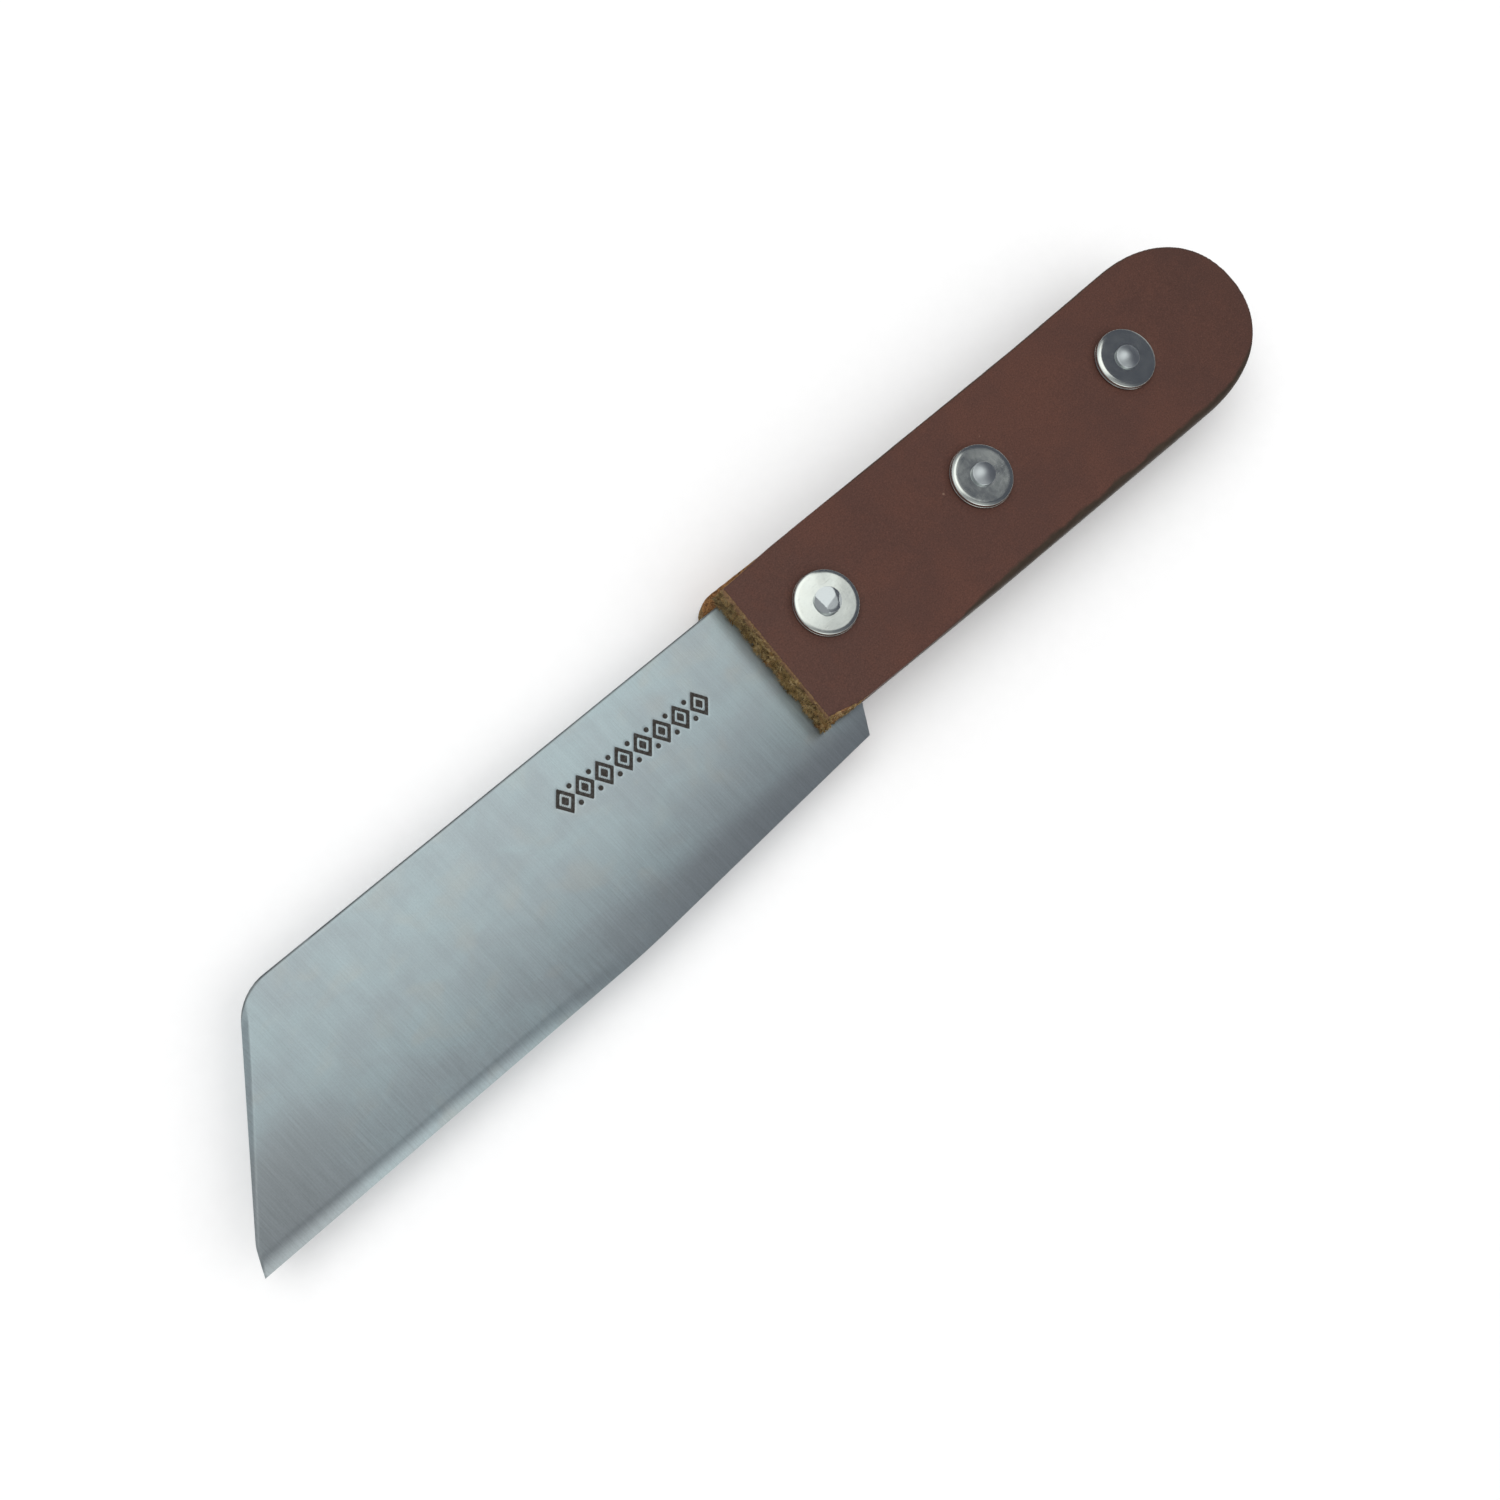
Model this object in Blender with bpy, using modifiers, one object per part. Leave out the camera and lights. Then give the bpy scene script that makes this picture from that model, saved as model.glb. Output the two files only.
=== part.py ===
"""Skiving knife: a steel blade with a full tang, two leather scales, and three rivets with their burrs.

World frame: +X runs towards the butt, +Y towards the spine and +Z out of the side that carries the burrs.
The origin is the centre of the front rivet's head. The knife lies on the heads, so they are at z = 0.
The pieces are drawn round the blade's mid-plane, and a parent empty lifts that plane to its height.
All lengths are in metres.
"""

import math

import bmesh
import bpy
from mathutils import Vector

MM = 0.001
GAP = 0.3 * MM  # clearance between neighbouring pieces

# Blade
BLADE_THICK = 1.5 * MM
TIP_X, TIP_Y = -113.5 * MM, -20.8 * MM
EDGE_BEND_X, EDGE_BEND_Y = -50.6 * MM, -20.97 * MM  # the cutting edge bends gently upwards here
EDGE_BEND_RADIUS = 150.0 * MM
HEEL_X, HEEL_Y = -5.8 * MM, -18.42 * MM
HEEL_RISE = 4.4 * MM  # height of the heel's slanted end, up to the leather
HEEL_LEAN = 2.4 * MM  # how far that end leans towards the butt
SPINE_Y = 10.1 * MM  # at the leather
SPINE_FALL = 0.95 * MM  # the spine is this much lower at the toe
TOE_SLOPE = 1.49  # rise over run of the slanted front
TOE_RADIUS = 7.5 * MM  # round corner between the slanted front and the spine
TIP_HOOK = 3.8 * MM  # height over which the slanted front turns down into the tip
TIP_HOOK_LEAN = 1.55 * MM
TIP_HOOK_RADIUS = 6.0 * MM

# Ground bevels of the blade
EDGE_HALF = 0.10 * MM  # half the thickness left at the sharpened edge
EDGE_BEVEL = 4.2 * MM  # width of the edge's bevel where it is fully ground
HEEL_HALF = 0.62 * MM  # half the thickness left at the heel, which is barely ground
TOE_CHAMFER = 0.6 * MM  # width of the small chamfer along the slanted front

# Handle outline
BUTT_X, BUTT_Y = 88.5 * MM, -0.5 * MM
FLARE_SPINE_X, FLARE_SPINE_Y = 71.4 * MM, 12.8 * MM  # widest place on the spine side
FLARE_EDGE_X, FLARE_EDGE_Y = 69.4 * MM, -14.7 * MM  # and on the other side
OVAL_POWER = 2.2  # 2 would make the butt a plain ellipse, and more makes it fuller
WAIST_SPINE_X, WAIST_SPINE_Y = 49.9 * MM, 12.08 * MM  # the spine side starts to flare here
WAIST_EDGE_X, WAIST_EDGE_Y = 28.0 * MM, -14.55 * MM
SHOULDER_X, SHOULDER_EDGE_Y = -3.0 * MM, -14.05 * MM

# Leather scales
LEATHER_TOP = 6.3 * MM  # height of a scale's outer face above the blade's mid-plane
LEATHER_LEAN = 0.8 * MM  # the front end slopes forward by this much towards the blade
LEATHER_ROUND = 0.9 * MM  # rounding of the outer face's rim
TOP_FRONT_X = -11.1 * MM  # foot of the top scale's front end
TOP_SPINE_Y = 11.2 * MM
FRONT_EDGE_Y = -13.6 * MM
REAR_FRONT_X = -13.3 * MM  # the bottom scale reaches further forward than the top one
REAR_SPINE_Y = 12.15 * MM
REAR_CORNER_RADIUS = 3.0 * MM

# Tang
TANG_RELIEF = 0.05 * MM  # the ground blade stands this much proud of the tang on each side
TANG_INSET = 0.5 * MM  # the leather overhangs the tang by this much
TANG_FRONT_X = -16.7 * MM  # the tang plate starts here, inside the blade plate
TANG_SPINE_Y = 9.8 * MM
TANG_HEEL_Y = -15.5 * MM
GROUND_END_X, GROUND_END_Y = -11.7 * MM, -14.3 * MM  # the ground face ends just outside the leather

# Rivets and burrs
RIVET_NAMES = ("front", "middle", "rear")
RIVET_PITCH = 31.9 * MM
SHANK_RADIUS = 1.7 * MM
HEAD_RADIUS = 5.0 * MM
HEAD_THICK = 1.0 * MM
PEEN_RADIUS = 2.2 * MM
PEEN_HEIGHT = 1.0 * MM
BURR_RADIUS = 5.0 * MM
BURR_THICK = 1.0 * MM
BURR_ROUND = 0.4 * MM
SUNK = 0.3 * MM  # burrs and heads are pulled this far into the leather

HOLE_RADIUS = SHANK_RADIUS + GAP
SEAT_RADIUS = BURR_RADIUS + GAP
SEAT_DEPTH = SUNK + GAP
BENCH_Z = -(LEATHER_TOP - SUNK + HEAD_THICK)  # outer face of the rivets' heads, before the lift

TURN_STEPS = 40
ARC_STEP = math.radians(7.5)
OVAL_STEPS = 12
SHARP = math.radians(30)
SAME = 0.001 * MM  # points closer than this are one point
PAST = 2.0 * MM  # how far a cutter runs out past the material
BLOCK = 40.0 * MM  # side of the block that trims a scale's front end


def clear_scene():
    for obj in list(bpy.data.objects):
        bpy.data.objects.remove(obj, do_unlink=True)


def new_collection(name):
    made = bpy.data.collections.new(name)
    bpy.context.scene.collection.children.link(made)
    return made


def new_material(name, colour, metallic, roughness):
    material = bpy.data.materials.new(name)
    material.use_nodes = True
    shader = material.node_tree.nodes["Principled BSDF"]
    shader.inputs["Base Color"].default_value = (*colour, 1.0)
    shader.inputs["Metallic"].default_value = metallic
    shader.inputs["Roughness"].default_value = roughness
    material.diffuse_color = (*colour, 1.0)
    return material


def new_object(name, data, collection, material=None):
    obj = bpy.data.objects.new(name, data)
    collection.objects.link(obj)
    if material:
        obj.data.materials.append(material)
    return obj


def lift(collection):
    """Puts all of a collection's objects on one empty, which stands the knife on its rivet heads."""
    stand = bpy.data.objects.new(collection.name + "_stand", None)
    collection.objects.link(stand)
    stand.location.z = -BENCH_Z
    for obj in collection.objects:
        if obj != stand:
            obj.parent = stand


def realised(guide, name):
    """The guide's evaluated shape as a closed mesh. The guide is removed."""
    bpy.context.view_layer.update()
    evaluated = guide.evaluated_get(bpy.context.evaluated_depsgraph_get())
    mesh = bpy.data.meshes.new_from_object(evaluated)
    mesh.transform(guide.matrix_world)
    mesh.name = name
    mesh.materials.clear()
    bpy.data.objects.remove(guide, do_unlink=True)
    shape = bmesh.new()
    shape.from_mesh(mesh)
    bmesh.ops.remove_doubles(shape, verts=shape.verts, dist=SAME)
    bmesh.ops.recalc_face_normals(shape, faces=shape.faces)
    shape.to_mesh(mesh)
    shape.free()
    return mesh


def smooth(obj):
    obj.data.shade_smooth()
    obj.data.set_sharp_from_angle(angle=SHARP)


# Outlines, drawn counter-clockwise seen from +Z


def fillet(before, corner, after, radius):
    """The points of an arc that rounds a corner, between its two tangent points."""
    before, corner, after = Vector(before), Vector(corner), Vector(after)
    arrive = (corner - before).normalized()
    leave = (after - corner).normalized()
    turn = arrive.angle_signed(leave)
    tangent = radius * math.tan(abs(turn) / 2)
    start = corner - arrive * tangent
    side = -math.copysign(1.0, turn)
    centre = start + Vector((-arrive.y, arrive.x)) * radius * side
    steps = max(2, math.ceil(abs(turn) / ARC_STEP))
    spoke = start - centre
    points = []
    for i in range(steps + 1):
        angle = abs(turn) * i / steps * side
        cos, sin = math.cos(angle), math.sin(angle)
        points.append((centre.x + spoke.x * cos - spoke.y * sin, centre.y + spoke.x * sin + spoke.y * cos))
    return points


def quarter_oval(centre, radius_x, radius_y, start_degrees):
    """A quarter of an oval that is a little fuller than an ellipse, counter-clockwise."""
    points = []
    for i in range(OVAL_STEPS + 1):
        angle = math.radians(start_degrees + 90 * i / OVAL_STEPS)
        across, up = math.cos(angle), math.sin(angle)
        x = math.copysign(abs(across) ** (2 / OVAL_POWER), across)
        y = math.copysign(abs(up) ** (2 / OVAL_POWER), up)
        points.append((centre[0] + radius_x * x, centre[1] + radius_y * y))
    return points


def cutting_edge():
    """Straight from the tip to a soft bend, then straight up to the heel."""
    tip, heel = (TIP_X, TIP_Y), (HEEL_X, HEEL_Y)
    return [tip, *fillet(tip, (EDGE_BEND_X, EDGE_BEND_Y), heel, EDGE_BEND_RADIUS), heel]


def toe():
    """The slanted front, from the round corner at the spine down to the tip."""
    hook = (TIP_X + TIP_HOOK_LEAN, TIP_Y + TIP_HOOK)
    toe_spine_y = SPINE_Y - SPINE_FALL
    corner = (hook[0] + (toe_spine_y - hook[1]) / TOE_SLOPE, toe_spine_y)
    round_corner = fillet((GROUND_END_X, SPINE_Y), corner, hook, TOE_RADIUS)
    return [*round_corner, *fillet(corner, hook, (TIP_X, TIP_Y), TIP_HOOK_RADIUS), (TIP_X, TIP_Y)]


def blade_outline():
    """The ground blade, ending in a line that runs just outside the leather."""
    share = (GROUND_END_Y - HEEL_Y) / HEEL_RISE
    heel_top = (HEEL_X + HEEL_LEAN * share, GROUND_END_Y)
    return [*cutting_edge(), heel_top, (GROUND_END_X, GROUND_END_Y), (GROUND_END_X, SPINE_Y), *toe()[:-1]]


def grip(inset=0.0):
    """The handle's outline from its lower shoulder, round the butt, to the waist on the spine side."""
    reach_edge = BUTT_X - inset - FLARE_EDGE_X
    reach_spine = BUTT_X - inset - FLARE_SPINE_X
    return [
        (SHOULDER_X, SHOULDER_EDGE_Y + inset),
        (WAIST_EDGE_X, WAIST_EDGE_Y + inset),
        *quarter_oval((FLARE_EDGE_X, BUTT_Y), reach_edge, BUTT_Y - FLARE_EDGE_Y - inset, -90),
        *quarter_oval((FLARE_SPINE_X, BUTT_Y), reach_spine, FLARE_SPINE_Y - BUTT_Y - inset, 0)[1:],
        (WAIST_SPINE_X, WAIST_SPINE_Y - inset),
    ]


def top_outline():
    return [(TOP_FRONT_X, FRONT_EDGE_Y), *grip(), (TOP_FRONT_X, TOP_SPINE_Y)]


def rear_outline():
    """The bottom scale: its front reaches further than the top one's and has a round corner."""
    lower = (REAR_FRONT_X, FRONT_EDGE_Y)
    corner = (REAR_FRONT_X, REAR_SPINE_Y)
    return [lower, *grip(), *fillet((WAIST_SPINE_X, WAIST_SPINE_Y), corner, lower, REAR_CORNER_RADIUS)]


def tang_outline():
    """The tang plate. Its front and its heel lie inside the blade plate."""
    heel_x = HEEL_X + HEEL_LEAN / 2
    below = [(TANG_FRONT_X, TANG_HEEL_Y), (heel_x, TANG_HEEL_Y)]
    return [*below, *grip(TANG_INSET), (TANG_FRONT_X, TANG_SPINE_Y)]


# Solids


def plate(name, outline, low, high, collection, material=None):
    """A flat piece with this outline, from height low to height high."""
    curve = bpy.data.curves.new(name, "CURVE")
    curve.dimensions = "2D"
    curve.fill_mode = "BOTH"
    curve.extrude = (high - low) / 2
    spline = curve.splines.new("POLY")
    spline.points.add(len(outline) - 1)
    for point, (x, y) in zip(spline.points, outline):
        point.co = (x, y, 0.0, 1.0)
    spline.use_cyclic_u = True
    guide = new_object(name + "_outline", curve, collection)
    guide.location.z = (low + high) / 2
    return new_object(name, realised(guide, name), collection, material)


def turned(name, profile, collection, material=None):
    """A solid of revolution about Z. The profile is (radius, height) pairs, down the outer side."""
    mesh = bpy.data.meshes.new(name + "_profile")
    edges = [(i, i + 1) for i in range(len(profile) - 1)]
    if profile[0][0] > 0.0:
        edges.append((len(profile) - 1, 0))
    mesh.from_pydata([(radius, 0.0, height) for radius, height in profile], edges, [])
    guide = new_object(name + "_profile", mesh, collection)
    screw = guide.modifiers.new("Turn", "SCREW")
    screw.steps = TURN_STEPS
    screw.render_steps = TURN_STEPS
    screw.use_merge_vertices = True
    screw.merge_threshold = SAME
    obj = new_object(name, realised(guide, name), collection, material)
    smooth(obj)
    return obj


def hide_cutter(obj):
    obj.hide_render = True
    obj.display_type = "WIRE"
    return obj


def drill(name, radius, low, high, cutters, x):
    """A round cutter on the rivet line."""
    shape = bmesh.new()
    bmesh.ops.create_cone(
        shape, cap_ends=True, segments=TURN_STEPS, radius1=radius, radius2=radius, depth=high - low
    )
    mesh = bpy.data.meshes.new(name)
    shape.to_mesh(mesh)
    shape.free()
    obj = new_object(name, mesh, cutters)
    obj.location = (x, 0.0, (low + high) / 2)
    return hide_cutter(obj)


def edge_wedge(name, path, drops, slope, side, cutters):
    """A wedge that takes the corner off along an edge of the blade.

    The path follows the outline. At each of its points the cut meets the edge at that point's drop
    below the face, and rises inwards at the given slope. Side is 1 for the top face, -1 for the bottom.
    """
    face = BLADE_THICK / 2
    shape = bmesh.new()
    rings = []
    for i, point in enumerate(path):
        along = Vector(path[min(i + 1, len(path) - 1)]) - Vector(path[max(i - 1, 0)])
        out = Vector((along.y, -along.x)).normalized()
        outside = Vector(point) + out * PAST
        inside = Vector(point) - out * (drops[i] + PAST) / slope
        corners = (
            (*outside, side * (face - drops[i] - slope * PAST)),
            (*outside, side * (face + PAST)),
            (*inside, side * (face + PAST)),
        )
        rings.append([shape.verts.new(corner) for corner in corners])
    for ring, following in zip(rings, rings[1:]):
        for a, b in ((0, 1), (1, 2), (2, 0)):
            shape.faces.new((ring[a], ring[b], following[b], following[a]))
    shape.faces.new(rings[0])
    shape.faces.new(rings[-1])
    bmesh.ops.triangulate(shape, faces=shape.faces)
    bmesh.ops.recalc_face_normals(shape, faces=shape.faces)
    mesh = bpy.data.meshes.new(name)
    shape.to_mesh(mesh)
    shape.free()
    return hide_cutter(new_object(name, mesh, cutters))


def boolean(obj, other, operation, solver="EXACT"):
    modifier = obj.modifiers.new(other.name, "BOOLEAN")
    modifier.operation = operation
    modifier.object = other
    modifier.solver = solver


def run_out(path):
    """The path with both ends carried on past the blade, so that a wedge cuts right through."""
    first, second = Vector(path[0]), Vector(path[1])
    last, last_but_one = Vector(path[-1]), Vector(path[-2])
    start = first + (first - second).normalized() * PAST
    end = last + (last - last_but_one).normalized() * PAST
    return [tuple(start), *path, tuple(end)]


# Pieces


def chamfer_toe(blade):
    """Takes the corners off along the slanted front, on both faces."""
    shape = bmesh.new()
    shape.from_mesh(blade.data)
    toe_end_x = toe()[0][0]
    corners = []
    for edge in shape.edges:
        level = abs(edge.verts[0].co.z - edge.verts[1].co.z) < SAME
        along_toe = all(vert.co.x < toe_end_x + SAME for vert in edge.verts)
        if level and along_toe and edge.calc_face_angle() > math.radians(45):
            corners.append(edge)
    bmesh.ops.bevel(shape, geom=corners, offset=TOE_CHAMFER, segments=1, affect="EDGES")
    shape.to_mesh(blade.data)
    shape.free()


def make_blade(parts, cutters, material):
    half = BLADE_THICK / 2
    blade = plate("blade", blade_outline(), -half, half, parts, material)
    chamfer_toe(blade)
    tang_half = half - TANG_RELIEF
    tang = hide_cutter(plate("tang_plate", tang_outline(), -tang_half, tang_half, cutters))
    boolean(blade, tang, "UNION")
    edge_path = run_out(cutting_edge())
    edge_slope = (half - EDGE_HALF) / EDGE_BEVEL
    for side, label in ((1, "top"), (-1, "bottom")):
        drops = []
        for x, _ in edge_path:
            share = min(1.0, max(0.0, (x - EDGE_BEND_X) / (HEEL_X - EDGE_BEND_X)))
            drops.append(half - EDGE_HALF - share * (HEEL_HALF - EDGE_HALF))
        wedge = edge_wedge("edge_" + label, edge_path, drops, edge_slope, side, cutters)
        boolean(blade, wedge, "DIFFERENCE", "MANIFOLD")
    for label, x in zip(RIVET_NAMES, rivet_places()):
        hole = drill("tang_hole_" + label, HOLE_RADIUS, -PAST, PAST, cutters, x)
        boolean(blade, hole, "DIFFERENCE", "MANIFOLD")
    return blade


def round_rim(obj, height):
    """Rounds the rim of the flat face that lies at this height."""
    shape = bmesh.new()
    shape.from_mesh(obj.data)
    rim = []
    for edge in shape.edges:
        level = all(abs(vert.co.z - height) < SAME for vert in edge.verts)
        if level and edge.calc_face_angle() > math.radians(45):
            rim.append(edge)
    bmesh.ops.bevel(
        shape, geom=rim, offset=LEATHER_ROUND, segments=3, profile=0.5, affect="EDGES", clamp_overlap=True
    )
    shape.to_mesh(obj.data)
    shape.free()


def front_trimmer(name, foot_x, side, cutters):
    """A block that slopes a scale's front end, so that its foot at the blade reaches further forward."""
    rise = LEATHER_TOP - BLADE_THICK / 2
    shape = bmesh.new()
    bmesh.ops.create_cube(shape, size=BLOCK)
    mesh = bpy.data.meshes.new(name)
    shape.to_mesh(mesh)
    shape.free()
    block = new_object(name, mesh, cutters)
    lean = side * math.atan2(LEATHER_LEAN, rise)
    block.rotation_euler = (0.0, lean, 0.0)
    edge = Vector((foot_x + LEATHER_LEAN, 0.0, side * LEATHER_TOP))
    middle = Vector((-math.cos(lean), 0.0, math.sin(lean))) * BLOCK / 2
    block.location = edge + middle
    return hide_cutter(block)


def make_scale(name, outline, foot_x, side, parts, cutters, material):
    """One leather scale, on the top (side 1) or the bottom (side -1) of the tang."""
    inner = side * (BLADE_THICK / 2 + GAP)
    outer = side * LEATHER_TOP
    scale = plate(name, outline, min(inner, outer), max(inner, outer), parts, material)
    round_rim(scale, outer)
    smooth(scale)
    boolean(scale, front_trimmer(name + "_front", foot_x, side, cutters), "DIFFERENCE")
    seat_floor = side * (LEATHER_TOP - SEAT_DEPTH)
    seat_mouth = side * (LEATHER_TOP + PAST)
    through = LEATHER_TOP + PAST
    for label, x in zip(RIVET_NAMES, rivet_places()):
        hole = drill(f"{name}_hole_{label}", HOLE_RADIUS, -through, through, cutters, x)
        low, high = min(seat_floor, seat_mouth), max(seat_floor, seat_mouth)
        seat = drill(f"{name}_seat_{label}", SEAT_RADIUS, low, high, cutters, x)
        boolean(scale, hole, "DIFFERENCE")
        boolean(scale, seat, "DIFFERENCE")
    return scale


def make_rivet(name, x, parts, material):
    """Flat head below, shank through all the layers, hammered end over the burr."""
    head_top = BENCH_Z + HEAD_THICK
    burr_top = LEATHER_TOP - SUNK + BURR_THICK
    peen_base = burr_top + GAP
    peen_top = burr_top + PEEN_HEIGHT
    profile = [
        (0.0, peen_top),
        (0.62 * PEEN_RADIUS, peen_top - 0.08 * PEEN_HEIGHT),
        (0.90 * PEEN_RADIUS, peen_top - 0.30 * PEEN_HEIGHT),
        (PEEN_RADIUS, peen_base + 0.15 * PEEN_HEIGHT),
        (PEEN_RADIUS, peen_base),
        (SHANK_RADIUS, peen_base),
        (SHANK_RADIUS, head_top),
        (HEAD_RADIUS - 0.25 * HEAD_THICK, head_top),
        (HEAD_RADIUS, head_top - 0.25 * HEAD_THICK),
        (HEAD_RADIUS, BENCH_Z + 0.45 * HEAD_THICK),
        (HEAD_RADIUS - 0.45 * HEAD_THICK, BENCH_Z),
        (0.0, BENCH_Z),
    ]
    rivet = turned(name, profile, parts, material)
    rivet.location.x = x
    return rivet


def make_burr(name, x, parts, material):
    """A stamped washer with a rolled outer rim, pulled into the leather under the rivet's end."""
    bottom = LEATHER_TOP - SUNK
    top = bottom + BURR_THICK
    bore = HOLE_RADIUS
    profile = [(bore, top), (BURR_RADIUS - BURR_ROUND, top)]
    for degrees in (60, 30, 0):
        angle = math.radians(degrees)
        reach = BURR_RADIUS - BURR_ROUND + BURR_ROUND * math.cos(angle)
        profile.append((reach, top - BURR_ROUND + BURR_ROUND * math.sin(angle)))
    ease = 0.2 * BURR_THICK
    profile += [(BURR_RADIUS, bottom + ease), (BURR_RADIUS - ease, bottom), (bore, bottom)]
    burr = turned(name, profile, parts, material)
    burr.location.x = x
    return burr


def rivet_places():
    return [i * RIVET_PITCH for i in range(len(RIVET_NAMES))]


def main():
    clear_scene()
    parts = new_collection("skiving_knife")
    cutters = new_collection("cutters")
    steel = new_material("blade_steel", (0.36, 0.42, 0.45), 1.0, 0.38)
    plated = new_material("plated_steel", (0.62, 0.65, 0.64), 1.0, 0.25)
    leather = new_material("leather", (0.115, 0.052, 0.040), 0.0, 0.55)
    make_blade(parts, cutters, steel)
    make_scale("scale_top", top_outline(), TOP_FRONT_X, 1, parts, cutters, leather)
    make_scale("scale_bottom", rear_outline(), REAR_FRONT_X, -1, parts, cutters, leather)
    for label, x in zip(RIVET_NAMES, rivet_places()):
        make_rivet("rivet_" + label, x, parts, plated)
        make_burr("burr_" + label, x, parts, plated)
    lift(parts)
    lift(cutters)


main()
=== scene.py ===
"""Looks of the skiving knife: ground steel blade, two leather scales with raw fibrous front ends, nickel
burrs and hammered rivets, on a pale floor in soft light.

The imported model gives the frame. Lengths are in metres and places are in the frame's coordinates:
+X runs towards the butt, +Y towards the spine, +Z out of the side that carries the burrs, and the origin
is the centre of the front rivet's head.
"""

import bmesh
import bpy
import numpy as np
from mathutils import Matrix, Vector, noise


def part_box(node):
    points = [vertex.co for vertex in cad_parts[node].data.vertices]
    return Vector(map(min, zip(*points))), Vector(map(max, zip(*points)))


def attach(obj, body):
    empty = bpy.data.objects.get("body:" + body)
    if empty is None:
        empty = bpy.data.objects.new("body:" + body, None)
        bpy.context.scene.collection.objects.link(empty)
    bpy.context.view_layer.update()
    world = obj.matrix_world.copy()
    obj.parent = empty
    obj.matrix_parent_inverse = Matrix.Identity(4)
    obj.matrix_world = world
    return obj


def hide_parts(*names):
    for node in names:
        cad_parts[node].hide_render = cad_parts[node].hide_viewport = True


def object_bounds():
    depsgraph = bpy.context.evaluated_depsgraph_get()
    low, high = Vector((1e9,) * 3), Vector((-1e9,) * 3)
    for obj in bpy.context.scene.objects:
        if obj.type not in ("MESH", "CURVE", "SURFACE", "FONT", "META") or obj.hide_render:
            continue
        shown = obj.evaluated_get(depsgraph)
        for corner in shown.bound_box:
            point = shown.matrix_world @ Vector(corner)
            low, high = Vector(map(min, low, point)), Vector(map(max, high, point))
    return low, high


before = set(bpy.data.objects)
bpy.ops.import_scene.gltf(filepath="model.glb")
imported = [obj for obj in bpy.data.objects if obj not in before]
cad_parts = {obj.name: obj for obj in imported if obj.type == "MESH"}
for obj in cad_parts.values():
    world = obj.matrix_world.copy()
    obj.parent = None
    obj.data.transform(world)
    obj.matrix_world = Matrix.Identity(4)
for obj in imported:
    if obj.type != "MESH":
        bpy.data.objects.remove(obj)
CAD_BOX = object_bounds()

MM = 0.001
RIVET_NAMES = ("front", "middle", "rear")

BLADE_LOW, BLADE_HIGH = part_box("blade")
TOP_LOW, TOP_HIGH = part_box("scale_top")
REAR_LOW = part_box("scale_bottom")[0]
MID_Z = (BLADE_LOW.z + BLADE_HIGH.z) / 2
BLADE_HALF = (BLADE_HIGH.z - BLADE_LOW.z) / 2
BUTT_X = TOP_HIGH.x + 0.2 * MM  # relaxing the leather's mesh draws this in again

# Blade outline
TIP_X, TIP_Y = BLADE_LOW.x, BLADE_LOW.y + 0.17 * MM
EDGE_BEND_X, EDGE_BEND_Y = -50.6 * MM, BLADE_LOW.y
EDGE_BEND_RADIUS = 150.0 * MM
HEEL_X, HEEL_Y = -5.8 * MM, -18.42 * MM
HEEL_TOP_X, HEEL_TOP_Y = -3.4 * MM, -14.0 * MM
SPINE_Y = 10.1 * MM  # at the leather
TOE_SPINE_Y = 9.15 * MM  # the spine falls to this at the toe
TOE_SLOPE = 1.49  # rise over run of the slanted front
TOE_RADIUS = 7.5 * MM
HOOK_X, HOOK_Y = 1.55 * MM, 3.8 * MM  # the turned-down tip, from the tip itself
HOOK_RADIUS = 6.0 * MM
BLADE_END_X = -1.5 * MM  # the ground blade runs into the tang here, under the leather
TANG_FRONT_X, TANG_SPINE_Y = -3.2 * MM, 10.66 * MM  # before its outline is set in
TANG_INSET = 0.5 * MM  # the leather overhangs the tang by this much
TANG_HALF = BLADE_HALF - 0.05 * MM
TANG_SINK, TANG_SINK_X = 0.09 * MM, -7.0 * MM  # the ground blade thins by this towards the tang, from here

# Blade section
GROUND_X = (EDGE_BEND_X - 32 * MM, EDGE_BEND_X + 4 * MM)  # from fully ground to least ground
BEVEL = 2.3 * MM  # width of the sharpened bevel, which is convex and fades into the face
BEVEL_TIP, BEVEL_TIP_LONG = 2.7 * MM, 18 * MM  # and at the tip, from which it narrows over this length
EDGE_HALF, HEEL_HALF = 0.03 * MM, 0.50 * MM  # half the thickness left at the sharp edge, and by the heel
BELLY = 15.0 * MM  # the face starts to curve down towards the edge this far from it
BELLY_DROP = 0.17 * MM  # at the tip
BELLY_DROP_HEEL = 0.25 * MM
TOE_CHAMFER, TOE_CHAMFER_Y = 0.95 * MM, 4 * MM  # its width from this height up
TOE_CHAMFER_TIP = 0.3 * MM
TOE_CHAMFER_END = (5.5 * MM, 8.8 * MM)  # it fades out between these
TOE_CHAMFER_SLOPE = 0.4
SPINE_ROUND = 0.22 * MM
GRIND_TURN = 0.06  # radians from straight across the blade
NOWHERE = 1.0  # a distance that is far from every line
DARK_LINE_FADE = (1.0 * MM, 9.0 * MM)  # the spine's dark line fades down the toe

# Etched ornament on the blade, at this centre
MARK_X, MARK_Y = -34.2 * MM, 1.3 * MM
MARK_TURN = -0.051  # radians
MARK_LONG, MARK_TALL = 27.0 * MM, 4.3 * MM
MARK_COUNT = 8  # lozenges
MARK_LINE = 0.52 * MM  # width of a lozenge's outline
MARK_HEART = 0.80 * MM  # the filled heart of a lozenge starts this far inside it
MARK_DOT, MARK_DOT_RISE = 0.40 * MM, 0.66  # radius, and height as a share of half a lozenge
ETCH_DEPTH = 0.02 * MM
ETCH_SOFT = 0.06 * MM  # half the width of the etched wall

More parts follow.
